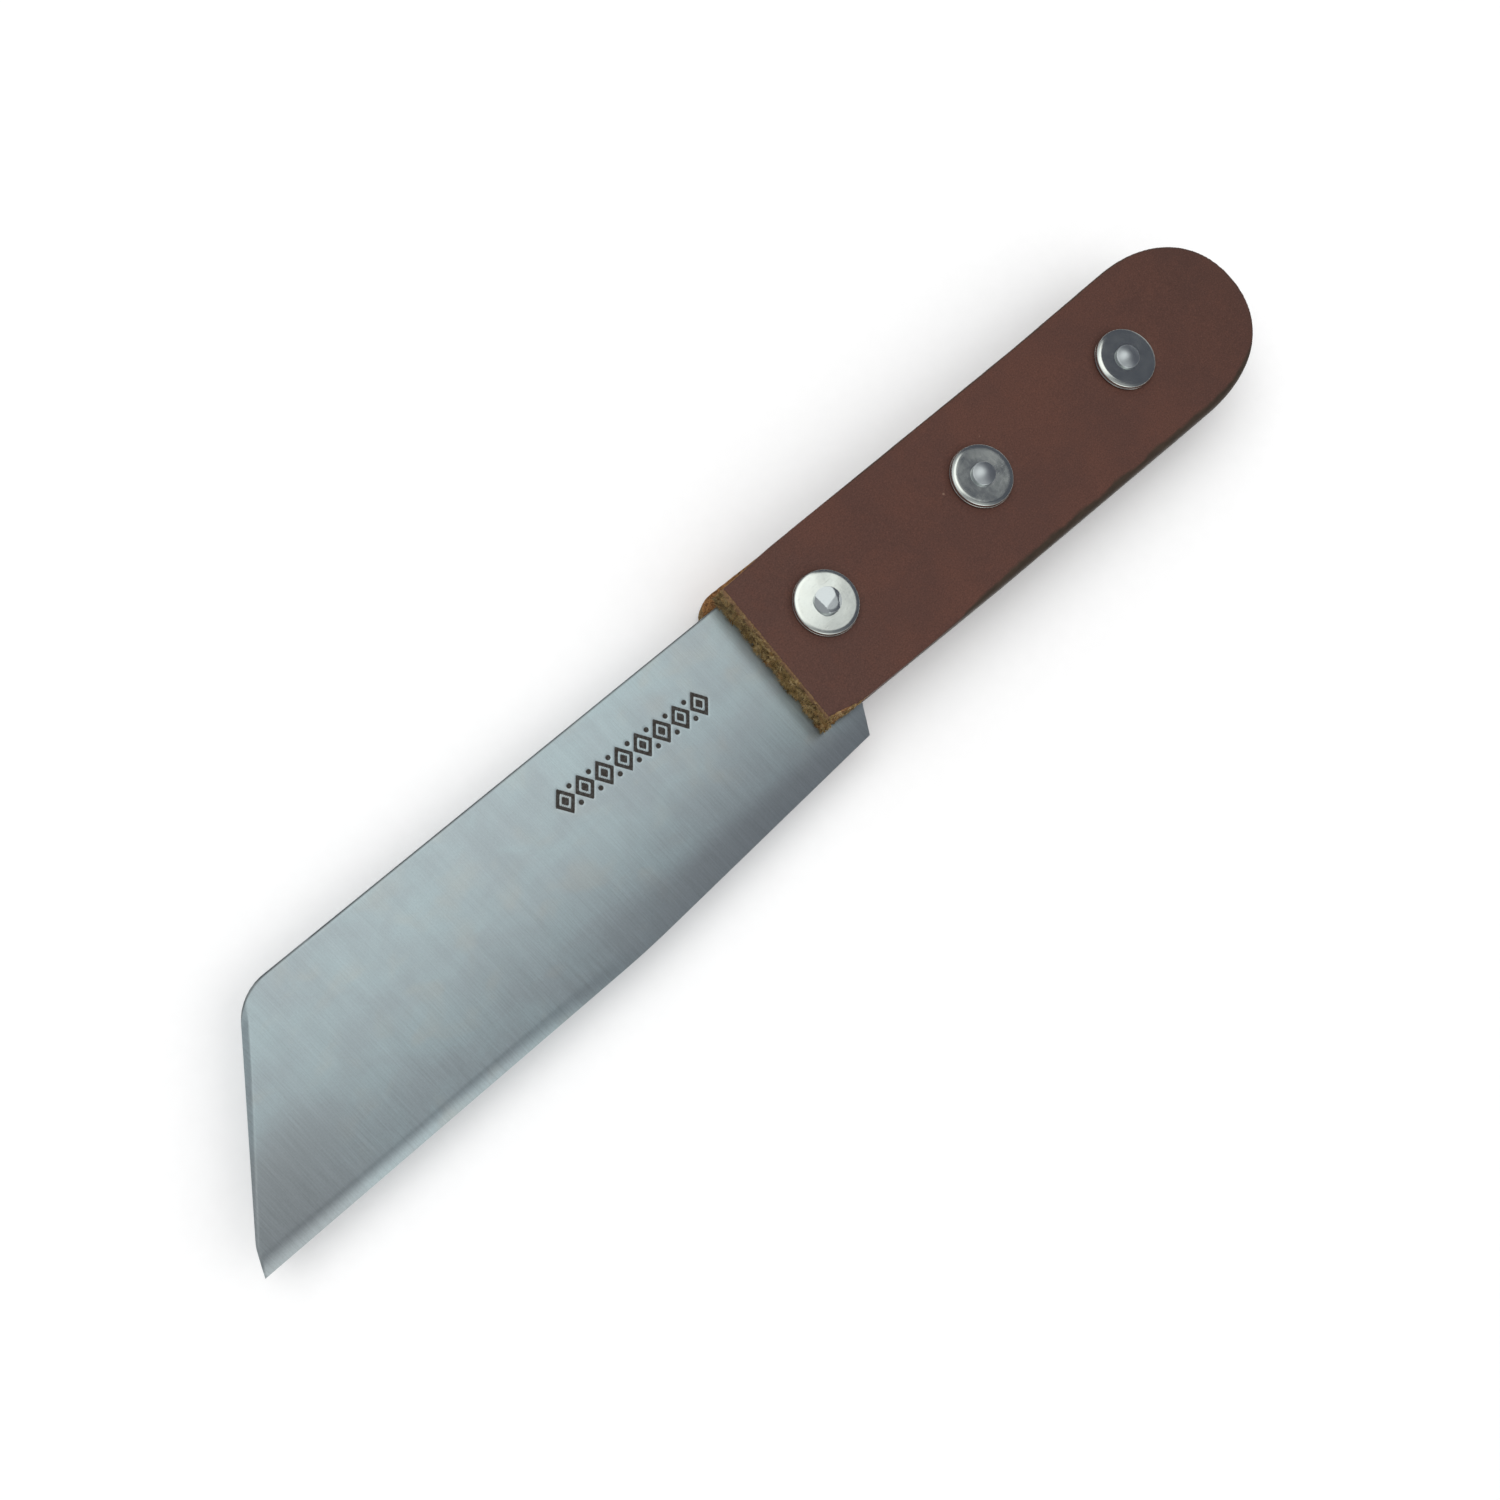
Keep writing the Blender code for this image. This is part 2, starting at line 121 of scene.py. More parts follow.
# Leather outline
FLARE_SPINE_X, FLARE_SPINE_Y = 71.4 * MM, TOP_HIGH.y
FLARE_EDGE_X, FLARE_EDGE_Y = 69.4 * MM, TOP_LOW.y
BUTT_Y = -0.5 * MM
OVAL_POWER = 2.2  # 2 would make the butt a plain ellipse
WAIST_SPINE_X, WAIST_SPINE_Y = 49.9 * MM, 12.08 * MM
WAIST_EDGE_X, WAIST_EDGE_Y = 28.0 * MM, -14.55 * MM
SHOULDER_X, SHOULDER_Y = -3.0 * MM, -14.05 * MM
FRONT_EDGE_Y = -13.6 * MM
TOP_SPINE_Y = 11.2 * MM
REAR_SPINE_Y = 12.15 * MM
REAR_CORNER = 3.0 * MM

# Leather's front ends
FRONT_BLEND = 6.0 * MM  # the front end's slant fades out over this length
FOOT_BULGE, FOOT_BULGE_Y, FOOT_BULGE_REACH = 0.55 * MM, 1.0 * MM, 14.0 * MM
TOP_RIM_X, TOP_RIM_Y = -10.72 * MM, 10.2 * MM  # spine-side end of the top scale's front rim
TOP_RIM_SLANT = 0.0165
REAR_LEAN = 0.5 * MM
CORNER_FLARE = 0.85 * MM  # the top scale's lower side leans in by this much at its rim
CORNER_FLARE_X = (-11.0 * MM, -5.2 * MM)  # from full to nothing
SPINE_TRIM = 0.45 * MM  # and its spine side by this much
CLUMP_REACH = 0.45 * MM

# Leather surface
VOXEL = 0.3 * MM
OUTLINE_STEP = 0.5 * MM
INNER_GAP = 0.02 * MM  # the leather rests on the blade
LEATHER_INNER = BLADE_HALF + INNER_GAP
LEATHER_OUTER = TOP_HIGH.z - MID_Z
RIM_RADIUS, RIM_RADIUS_FRONT = 0.9 * MM, 0.25 * MM
RIM_LOSS = 0.6 * MM  # the outer rim is this much sharper along the spine side and the butt
DENT_DEPTH = 0.27 * MM  # the leather is drawn down by this much at the burrs and heads
DENT_IN, DENT_OUT = 0.2 * MM, 1.3 * MM  # the dent's slope, from inside the burr's rim to outside it
SHADE_BAND_WIDTH = 1.45 * MM  # a band of painted shade along the lower rim of the face

# Loose strands
STRANDS = 12  # in each tuft
STRAND_FLOOR = BLADE_HALF + 0.05 * MM  # strands stay this far from the blade's mid-plane

# Burrs and rivets
BURR_RADIUS = 5.0 * MM
SHANK_RADIUS = 1.7 * MM
TURN_STEPS = 96
HEAD_SUNK = 0.3 * MM  # in the leather
HEAD_ROUND, HEAD_EDGE = 0.3 * MM, 0.45 * MM
PEEN_CREASE = 0.14 * MM

# What the hammer left on the front rivet: angle, slope and drop (mm) of each flat
FRONT_FLATS = ((1.9, 0.08, 0.09), (4.6, 0.02, 0.05), (3.1, 0.8, -0.80), (5.6, 0.7, -0.95))
# Shoulder, fall and crown of each burr, then radius, rise, dullness, lean and flats of each hammered end
BURRS = ((0.50 * MM, 0.05 * MM, 2.2), (0.50 * MM, 0.11 * MM, -1.8), (0.60 * MM, 0.13 * MM, -1.0))
PEENS = (
    (2.0 * MM, 0.12 * MM, 0.22, 0.0, FRONT_FLATS),
    (1.82 * MM, 0.30 * MM, 0.34, 0.07, ()),
    (1.86 * MM, 0.36 * MM, 0.34, 0.09, ()),
)

# Camera
CAMERA_PLACE = Vector((-82.32, -14.97, 214.94)) * MM
CAMERA_RIGHT = Vector((0.7358, -0.6475, 0.1986))
CAMERA_BACK = Vector((-0.2832, -0.0278, 0.9587))
LENS = 36.61  # mm, for Blender's own sensor of 36 mm

random = np.random.default_rng(11)


# ---- numbers and outlines


def ease(low, high, value):
    """0 below low, 1 above high and a smooth step between."""
    share = np.clip((np.asarray(value, float) - low) / (high - low), 0.0, 1.0)
    return share * share * (3 - 2 * share)


def distance_to(points, path):
    """Distance of each XY point from a polyline."""
    best = np.full(len(points), np.inf)
    for start, end in zip(path[:-1], path[1:]):
        along = end - start
        share = np.clip((points - start) @ along / (along @ along), 0.0, 1.0)
        foot = start + share[:, None] * along
        best = np.minimum(best, np.linalg.norm(points - foot, axis=1))
    return best


def at_shares(path, shares):
    """Points at these shares of a polyline's length."""
    lengths = np.concatenate([[0.0], np.cumsum(np.linalg.norm(np.diff(path, axis=0), axis=1))])
    wanted = np.asarray(shares) * lengths[-1]
    return np.stack([np.interp(wanted, lengths, path[:, axis]) for axis in (0, 1)], axis=1)


def fillet(before, corner, after, radius, steps=14):
    """Points of an arc that rounds a corner."""
    before, corner, after = (np.array(p, float) for p in (before, corner, after))
    arrive = (corner - before) / np.linalg.norm(corner - before)
    leave = (after - corner) / np.linalg.norm(after - corner)
    cross = arrive[0] * leave[1] - arrive[1] * leave[0]
    turn = np.arctan2(cross, arrive @ leave)
    start = corner - arrive * radius * np.tan(abs(turn) / 2)
    centre = start + np.array([-arrive[1], arrive[0]]) * radius * np.sign(turn)
    spoke = start - centre
    angles = np.linspace(0.0, turn, steps)
    cos, sin = np.cos(angles), np.sin(angles)
    x = centre[0] + spoke[0] * cos - spoke[1] * sin
    y = centre[1] + spoke[0] * sin + spoke[1] * cos
    return np.stack([x, y], axis=1)


def quarter_oval(centre_x, reach_x, reach_y, start, steps=36):
    """A quarter of the butt, a little fuller than an ellipse, counter-clockwise from a start angle."""
    angles = np.linspace(start, start + np.pi / 2, steps)
    across, up = np.cos(angles), np.sin(angles)
    x = centre_x + reach_x * np.sign(across) * np.abs(across) ** (2 / OVAL_POWER)
    y = BUTT_Y + reach_y * np.sign(up) * np.abs(up) ** (2 / OVAL_POWER)
    return np.stack([x, y], axis=1)


def grip():
    """The handle's outline from its lower shoulder, round the butt, to the waist on the spine side."""
    edge = quarter_oval(FLARE_EDGE_X, BUTT_X - FLARE_EDGE_X, BUTT_Y - FLARE_EDGE_Y, -np.pi / 2)
    spine = quarter_oval(FLARE_SPINE_X, BUTT_X - FLARE_SPINE_X, FLARE_SPINE_Y - BUTT_Y, 0.0)
    shoulder = [[SHOULDER_X, SHOULDER_Y], [WAIST_EDGE_X, WAIST_EDGE_Y]]
    return np.vstack([shoulder, edge, spine[1:], [[WAIST_SPINE_X, WAIST_SPINE_Y]]])


def even(path, step):
    """The closed outline with points at even steps, corners rounded off by less than a step."""
    ring = np.vstack([path, path[:1]])
    length = np.linalg.norm(np.diff(ring, axis=0), axis=1).sum()
    return at_shares(ring, np.linspace(0.0, 1.0, int(length / step), endpoint=False))


def cutting_edge():
    tip, heel = (TIP_X, TIP_Y), (HEEL_X, HEEL_Y)
    bend = fillet(tip, (EDGE_BEND_X, EDGE_BEND_Y), heel, EDGE_BEND_RADIUS)
    return np.vstack([[tip], bend, [heel]])


def toe():
    """From the tip up the slanted front and round its corner to the spine."""
    tip, hook = (TIP_X, TIP_Y), (TIP_X + HOOK_X, TIP_Y + HOOK_Y)
    corner = (hook[0] + (TOE_SPINE_Y - hook[1]) / TOE_SLOPE, TOE_SPINE_Y)
    lower = fillet(tip, hook, corner, HOOK_RADIUS)
    upper = fillet(hook, corner, (BLADE_END_X, SPINE_Y), TOE_RADIUS)
    return np.vstack([[tip], lower, upper])


def new_object(name, data, material=None):
    obj = bpy.data.objects.new(name, data)
    bpy.context.scene.collection.objects.link(obj)
    if material:
        data.materials.clear()
        data.materials.append(material)
    return obj


def coordinates(mesh):
    flat = np.empty(len(mesh.vertices) * 3)
    mesh.vertices.foreach_get("co", flat)
    return flat.reshape(-1, 3)


def vertex_normals(mesh):
    flat = np.empty(len(mesh.vertices) * 3)
    mesh.vertex_normals.foreach_get("vector", flat)
    return flat.reshape(-1, 3)


def set_coordinates(mesh, points):
    mesh.vertices.foreach_set("co", np.ascontiguousarray(points).ravel())
    mesh.update()


def set_values(mesh, name, values):
    """Stores one number a vertex, which a material reads by name."""
    attribute = mesh.attributes.new(name, "FLOAT", "POINT")
    attribute.data.foreach_set("value", np.asarray(values, np.float32))


def rough(points, scale, seed):
    """Smooth noise from about -1 to 1 at each point, for features of this size."""
    shift = Vector((seed * 7.3, seed * 3.1, seed * 5.7))
    return np.array([noise.noise(Vector(point) / scale + shift) for point in points])


def smooth(mesh, degrees=40.0):
    mesh.shade_smooth()
    mesh.set_sharp_from_angle(angle=np.radians(degrees))


def evaluated_copy(obj, name):
    """The object's mesh with its modifiers applied."""
    graph = bpy.context.evaluated_depsgraph_get()
    graph.update()
    mesh = bpy.data.meshes.new_from_object(obj.evaluated_get(graph))
    mesh.name = name
    return mesh


def remove(obj):
    bpy.data.objects.remove(obj, do_unlink=True)


def closed_mesh(shape, name):
    """Turns a finished bmesh into a mesh whose faces look outwards."""
    bmesh.ops.recalc_face_normals(shape, faces=shape.faces)
    mesh = bpy.data.meshes.new(name)
    shape.to_mesh(mesh)
    shape.free()
    return mesh


def join_rings(shape, low, high):
    """Faces between two rings of as many vertices."""
    for i in range(len(low)):
        shape.faces.new((low[i - 1], low[i], high[i], high[i - 1]))


def stack(rings, name):
    """A closed mesh through rings of places, from its one end to the other."""
    shape = bmesh.new()
    levels = [[shape.verts.new(place) for place in ring] for ring in rings]
    for low, high in zip(levels, levels[1:]):
        join_rings(shape, low, high)
    shape.faces.new(levels[0])
    shape.faces.new(levels[-1])
    bmesh.ops.triangulate(shape, faces=shape.faces)
    return closed_mesh(shape, name)


def boolean(obj, operation, other):
    change = obj.modifiers.new(other.name, "BOOLEAN")
    change.operation = operation
    change.solver = "MANIFOLD"
    change.object = other


def hand_over(piece, node=None):
    """Ties a finished piece to the frame's root body and hides the node it stands for."""
    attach(piece, "root")
    if node:
        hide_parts(node)


# ---- material graphs


class Graph:
    """Shorthand for building a node tree."""

    def __init__(self, tree):
        self.tree = tree

    def node(self, kind, inputs=None, **settings):
        made = self.tree.nodes.new("ShaderNode" + kind)
        for key, value in settings.items():
            setattr(made, key, value)
        self.connect(made, inputs or {})
        return made

    def connect(self, node, inputs):
        """Gives each of the node's inputs a value or another node's output."""
        for key, value in inputs.items():
            if isinstance(value, bpy.types.NodeSocket):
                self.tree.links.new(value, node.inputs[key])
            else:
                node.inputs[key].default_value = value

    def math(self, operation, a, b, clamp=False):
        return self.node("Math", {0: a, 1: b}, operation=operation, use_clamp=clamp).outputs[0]

    def times(self, a, b):
        return self.math("MULTIPLY", a, b)

    def step(self, value, low, high):
        """0 where the value is at low, 1 at high, smooth between."""
        inputs = {"Value": value, "From Min": low, "From Max": high}
        return self.node("MapRange", inputs, interpolation_type="SMOOTHSTEP").outputs["Result"]

    def span(self, value, low, high, to_low, to_high):
        inputs = {"Value": value, "From Min": low, "From Max": high, "To Min": to_low, "To Max": to_high}
        return self.node("MapRange", inputs).outputs["Result"]

    def vary(self, noise_value, to_low, to_high):
        """A noise, which mostly lies between 0.3 and 0.7, brought to another range."""
        return self.span(noise_value, 0.3, 0.7, to_low, to_high)

    def mix(self, share, a, b, blend="MIX", clamp=True):
        settings = {"data_type": "RGBA", "blend_type": blend, "clamp_factor": clamp}
        return self.node("Mix", {0: share, 6: a, 7: b}, **settings).outputs[2]

    def wash(self, tone, mask, strength, colour):
        """The tone with another colour laid over it where the mask is, at this strength."""
        return self.mix(self.times(mask, strength), tone, colour)

    def noise(self, vector, scale, detail=3.0, roughness=0.5, distortion=0.0):
        inputs = {"Vector": vector, "Scale": scale, "Detail": detail}
        inputs.update({"Roughness": roughness, "Distortion": distortion})
        return self.node("TexNoise", inputs).outputs["Fac"]

    def cells(self, vector, scale):
        return self.node("TexVoronoi", {"Vector": vector, "Scale": scale}).outputs["Distance"]

    def stretched(self, vector, scale):
        return self.node("Mapping", {"Vector": vector, "Scale": scale}).outputs["Vector"]

    def value(self, name):
        """A number stored at the mesh's vertices."""
        return self.node("Attribute", attribute_name=name).outputs["Fac"]

    def axes(self, vector):
        split = self.node("SeparateXYZ", {"Vector": vector}).outputs
        return split["X"], split["Y"], split["Z"]

    def bump(self, height, distance, strength=1.0, normal=None):
        inputs = {"Height": height, "Distance": distance, "Strength": strength}
        if normal is not None:
            inputs["Normal"] = normal
        return self.node("Bump", inputs).outputs["Normal"]


def srgb(red, green, blue):
    """A colour given as the eight-bit numbers a screen shows."""
    values = np.array([red, green, blue]) / 255.0
    linear = np.where(values <= 0.04045, values / 12.92, ((values + 0.055) / 1.055) ** 2.4)
    return (*(float(part) for part in linear), 1.0)


def grey(level):
    return (level, level, level, 1.0)


def new_material(name):
    """A material with its Principled shader and the object's own coordinates in millimetres."""
    material = bpy.data.materials.new(name)
    material.use_nodes = True
    graph = Graph(material.node_tree)
    shader = material.node_tree.nodes["Principled BSDF"]
    place = graph.node("TexCoord").outputs["Object"]
    millimetres = graph.stretched(place, (1 / MM, 1 / MM, 1 / MM))
    return material, graph, shader, millimetres


def steel_tone(graph, place):
    """Cloudy blue-grey, a little warmer in patches, with painted shade: a darker reflection painted in by the
    tip and along the heel's edge.
    """
    cloudy = graph.noise(graph.stretched(place, (0.11, 0.16, 0.1)), 1.0, 3.0, 0.5, 0.4)
    warm = graph.noise(graph.stretched(place, (0.17, 0.22, 0.1)), 1.0, 2.0, 0.5, 0.3)
    tone = graph.mix(graph.step(cloudy, 0.35, 0.68), (0.50, 0.575, 0.61, 1.0), (0.535, 0.64, 0.675, 1.0))
    tone = graph.wash(tone, graph.step(warm, 0.5, 0.75), 0.35, (0.61, 0.63, 0.60, 1.0))
    x, y, _ = graph.axes(place)
    # painted shade: a darker reflection painted into the steel by the tip
    tip_painted_shade = graph.times(graph.step(x, -88.0, -106.0), graph.step(y, -3.0, -12.0))
    tone = graph.mix(tip_painted_shade, tone, (0.44, 0.485, 0.51, 1.0))
    # painted shade: a darker reflection painted along the heel's edge
    heel_painted_shade = graph.times(graph.step(x, -70.0, -30.0), graph.step(y, -13.0, -17.0))
    return graph.wash(tone, heel_painted_shade, 0.9, (0.39, 0.43, 0.465, 1.0))


def steel_material():
    """Cold blue-grey steel with fine grinding lines across the blade, and the dark etched ornament."""
    material, graph, shader, place = new_material("blade_steel")
    turned_place = graph.node("VectorRotate", {"Vector": place, "Angle": -GRIND_TURN}, rotation_type="Z_AXIS")
    ground = turned_place.outputs["Vector"]
    fine = graph.noise(graph.stretched(ground, (6.0, 0.16, 0.5)), 1.0, 3.0, 0.65)
    coarse = graph.noise(graph.stretched(ground, (1.3, 0.07, 0.3)), 1.0, 2.0)
    speckle = graph.noise(place, 4.0, 2.0, 0.7)
    lines = graph.math("ADD", graph.vary(fine, 0.91, 1.08), graph.vary(coarse, -0.03, 0.03))
    lines = graph.math("ADD", lines, graph.vary(speckle, -0.05, 0.05))
    brightness = graph.node("CombineColor", {0: lines, 1: lines, 2: lines}).outputs[0]
    tone = graph.mix(1.0, steel_tone(graph, place), brightness, "MULTIPLY")
    spine = graph.step(graph.value("spine_distance"), 0.45 * MM, 0.15 * MM)
    tone = graph.wash(tone, spine, 0.7, grey(0.09))
    etched = graph.step(graph.value("mark_distance"), 0.05 * MM, -0.05 * MM)
    worn = graph.noise(place, 2.6, 4.0, 0.65)
    etched = graph.times(etched, graph.span(worn, 0.35, 0.55, 0.93, 1.0))
    tone = graph.mix(etched, tone, srgb(50, 45, 40))
    metallic = graph.math("SUBTRACT", 1.0, graph.times(etched, 0.75))
    dull = graph.math("MAXIMUM", graph.vary(fine, 0.30, 0.37), graph.times(etched, 0.6))
    across = graph.node("CombineXYZ", {"X": 1.0, "Y": GRIND_TURN}).outputs[0]
    graph.connect(shader, {"Base Color": tone, "Metallic": metallic, "Roughness": dull})
    graph.connect(shader, {"Anisotropic": 0.75, "Tangent": across})
    graph.connect(shader, {"Normal": graph.bump(fine, 0.002 * MM, 0.5)})
    return material


def nickel_material(name):
    """Plated steel with hairline scratches and a faint cloudiness, duller where it was hammered."""
    material, graph, shader, place = new_material(name)
    cloudy = graph.noise(place, 0.6, 2.0, 0.5)
    turned = graph.node("Mapping", {"Vector": place, "Rotation": (0.0, 0.0, 0.9), "Scale": (0.5, 9.0, 1.0)})
    scratches = graph.step(graph.noise(turned.outputs["Vector"], 1.0, 2.0, 0.7), 0.60, 0.78)
    spots = graph.step(graph.noise(place, 3.5, 2.0), 0.62, 0.75)
    beaten = graph.value("hammered")
    tone = graph.mix(cloudy, (0.60, 0.64, 0.63, 1.0), (0.77, 0.80, 0.755, 1.0))
    tone = graph.mix(graph.step(beaten, 0.0, 0.2), tone, (0.56, 0.60, 0.62, 1.0))
    tone = graph.wash(tone, spots, 0.12, (0.35, 0.36, 0.36, 1.0))
    dull = graph.math("ADD", graph.vary(cloudy, 0.11, 0.17), graph.times(scratches, 0.05))
    dull = graph.math("MAXIMUM", dull, beaten)
    uneven = graph.bump(cloudy, 0.02 * MM, 0.4)
    scratched = graph.bump(scratches, 0.004 * MM, 0.4, uneven)
    graph.connect(shader, {"Base Color": tone, "Metallic": 1.0, "Roughness": dull, "Normal": scratched})
    return material


def grain_tone(graph, place, mottle, grain, pores):
    """The dyed face: red-brown, darker in its pores, with a few pale specks; painted shade darkens it towards
    the butt and a painted cooler light lies near the blade.
    """
    x = graph.axes(place)[0]
    cloudy = graph.noise(place, 0.10, 4.0, 0.55, 0.3)
    tone = graph.mix(graph.step(cloudy, 0.32, 0.68), srgb(79, 53, 46), srgb(86, 56, 47))
    # painted shade: the face darkens towards the butt
    tone = graph.wash(tone, graph.step(x, 62.0, 90.0), 0.6, srgb(70, 49, 43))
    # painted light: a cooler, lighter tone near the blade
    tone = graph.wash(tone, graph.step(x, 12.0, -14.0), 0.5, srgb(80, 58, 51))
    tone = graph.wash(tone, graph.step(mottle, 0.45, 0.75), 0.25, srgb(94, 60, 49))
    tone = graph.wash(tone, graph.step(grain, 0.54, 0.30), 0.50, srgb(60, 40, 35))
    tone = graph.wash(tone, graph.step(grain, 0.52, 0.72), 0.40, srgb(103, 70, 60))
    tone = graph.wash(tone, graph.step(pores, 0.16, 0.05), 0.25, srgb(52, 36, 32))
    specks = graph.step(graph.cells(place, 0.16), 0.042, 0.025)
    return graph.wash(tone, specks, 0.4, srgb(150, 122, 104))


def flesh_tone(graph, place, strands):
    """Raw leather: matted olive brown, redder in patches and where it was cut, pale at the lip."""
    flesh = graph.mix(graph.step(strands, 0.38, 0.62), srgb(84, 69, 44), srgb(158, 132, 86))
    orange = graph.noise(place, 0.5, 3.0, 0.6)
    flesh = graph.wash(flesh, graph.step(orange, 0.5, 0.7), 0.45, srgb(126, 84, 50))
    cut = graph.mix(graph.step(strands, 0.35, 0.65), srgb(92, 62, 40), srgb(168, 114, 72))
    flesh = graph.wash(flesh, graph.value("cut"), 0.7, cut)
    return graph.wash(flesh, graph.value("lip"), 0.7, srgb(130, 99, 76))


def leather_material():
    """Red-brown grain leather; raw fibrous flesh, and dark burnished rims plus a painted shade band along the
    lower rim, where the mesh says so.
    """
    material, graph, shader, place = new_material("leather")
    mottle = graph.noise(place, 0.55, 4.0, 0.6)
    grain = graph.noise(place, 4.5, 3.0, 0.6)
    pores = graph.cells(place, 2.6)
    tone = grain_tone(graph, place, mottle, grain, pores)
    streaks = graph.noise(graph.stretched(place, (0.5, 0.5, 3.5)), 1.0, 3.0, 0.6)
    # dark tone for the burnished edges and for the painted shade band along the lower rim
    edge_and_shade_tone = graph.mix(streaks, srgb(38, 33, 28), srgb(66, 54, 43))
    tone = graph.mix(graph.value("burnish_and_shade"), tone, edge_and_shade_tone)
    strands = graph.noise(graph.stretched(place, (1.8, 1.8, 0.9)), 1.0, 5.0, 0.7, 1.2)
    ragged = graph.math("ADD", graph.value("raw"), graph.vary(strands, -0.25, 0.25))
    raw = graph.step(ragged, 0.35, 0.65)
    tone = graph.mix(raw, tone, flesh_tone(graph, place, strands))
    dull = graph.math("ADD", graph.vary(mottle, 0.44, 0.58), graph.times(raw, 0.4), clamp=True)
    wrinkles = graph.bump(graph.math("ADD", grain, graph.times(mottle, 0.8)), 0.035 * MM, 0.5)
    dimples = graph.bump(graph.step(pores, 0.0, 0.35), 0.03 * MM, 0.5, wrinkles)
    tufts = graph.bump(graph.times(strands, raw), 0.6 * MM, 0.8, dimples)
    graph.connect(shader, {"Base Color": tone, "Roughness": dull, "Normal": tufts})
    graph.connect(shader, {"Specular IOR Level": 0.22})
    return material


def fibre_material():
    """Loose strands of raw leather, each a little lighter, darker or redder than its neighbours."""
    material, graph, shader, place = new_material("leather_fibres")
    tint = graph.value("tint")
    tone = graph.mix(graph.step(tint, 0.0, 0.55), srgb(78, 63, 40), srgb(156, 130, 82))
    tone = graph.mix(graph.step(tint, 0.55, 1.0), tone, srgb(212, 188, 140))
    patchy = graph.noise(place, 0.6, 3.0, 0.6)
    tone = graph.wash(tone, graph.step(patchy, 0.5, 0.7), 0.5, srgb(158, 104, 60))
    near_spine = graph.step(graph.axes(place)[1], 0.0, 8.0)
    tone = graph.wash(tone, near_spine, 0.4, srgb(78, 70, 52))
    graph.connect(shader, {"Base Color": tone, "Roughness": 0.85, "Specular IOR Level": 0.2})
    return material


def floor_material():
    """Matt pale paper with a barely visible tooth."""
    material, graph, shader, place = new_material("pale_floor")
    tooth = graph.noise(place, 0.4, 3.0, 0.6)
    tone = graph.mix(tooth, grey(0.92), grey(0.95))
    graph.connect(shader, {"Base Color": tone, "Roughness": 0.9, "Specular IOR Level": 0.1})
    return material


# ---- blade


def spread(dense, total, fine, coarse):
    """Shares from 0 to 1 that are close together inside the dense stretches and wider elsewhere."""
    shares = [0.0]
    while shares[-1] < 1.0:
        here = shares[-1]
        close = any(low <= here <= high for low, high in dense)
        shares.append(here + (fine if close else coarse) / total)
    shares = np.array(shares)
    return shares / shares[-1]


def blade_patch():
    """A grid of XY points over the ground blade. Its rows run from the cutting edge to the spine."""
    below = cutting_edge()
    front = toe()
    under_leather = [BLADE_END_X, HEEL_TOP_Y + 1.0 * MM]
    end = np.array([[HEEL_X, HEEL_Y], [HEEL_TOP_X, HEEL_TOP_Y], under_leather, [BLADE_END_X, SPINE_Y]])
    above = np.array([front[-1], [BLADE_END_X, SPINE_Y]])
    length, height = 105.0 * MM, 30.0 * MM
    fine = 0.2 * MM
    toe_columns, mark_columns = (0.0, 0.02), (0.52, 0.87)
    columns = spread([toe_columns, mark_columns], length, fine, 0.8 * MM)
    bevel_rows, mark_rows, spine_rows = (0.0, 0.2), (0.58, 0.86), (0.975, 1.0)
    rows = spread([bevel_rows, mark_rows, spine_rows], height, fine, 0.7 * MM)
    rows = np.concatenate([rows[:-1], [1 - 0.15 * MM / height, 1 - 0.07 * MM / height, 1.0]])
    low, high = at_shares(below, columns), at_shares(above, columns)
    left, right = at_shares(front, rows), at_shares(end, rows)
    u, v = columns[:, None, None], rows[None, :, None]
    straight = (1 - v) * low[:, None] + v * high[:, None] + (1 - u) * left[None] + u * right[None]
    corners = (1 - u) * ((1 - v) * low[0] + v * high[0]) + u * ((1 - v) * low[-1] + v * high[-1])
    return straight - corners


def mark_distance(points):
    """Signed distance, negative inside, of a plain etched border: hollow lozenges with dots between them."""
    cos, sin = np.cos(MARK_TURN), np.sin(MARK_TURN)
    x, y = points[:, 0] - MARK_X, points[:, 1] - MARK_Y
    x, y = x * cos + y * sin, y * cos - x * sin
    pitch = MARK_LONG / MARK_COUNT
    along, up = np.abs((x / pitch) % 1.0 - 0.5) * pitch, np.abs(y)
    wide, tall = pitch / 2 - 0.04 * MM, MARK_TALL / 2
    lozenge = (along / wide + up / tall - 1) * wide * tall / np.hypot(wide, tall)
    ring = np.maximum(lozenge, -MARK_LINE - lozenge)
    heart = lozenge + MARK_HEART
    dot = np.hypot(along - pitch / 2, up - MARK_DOT_RISE * tall) - MARK_DOT
    dot = np.maximum(dot, np.abs(x) - (MARK_LONG - pitch) / 2)
    inside = np.minimum(np.minimum(ring, heart), dot)
    return np.maximum(inside, np.abs(x) - MARK_LONG / 2)


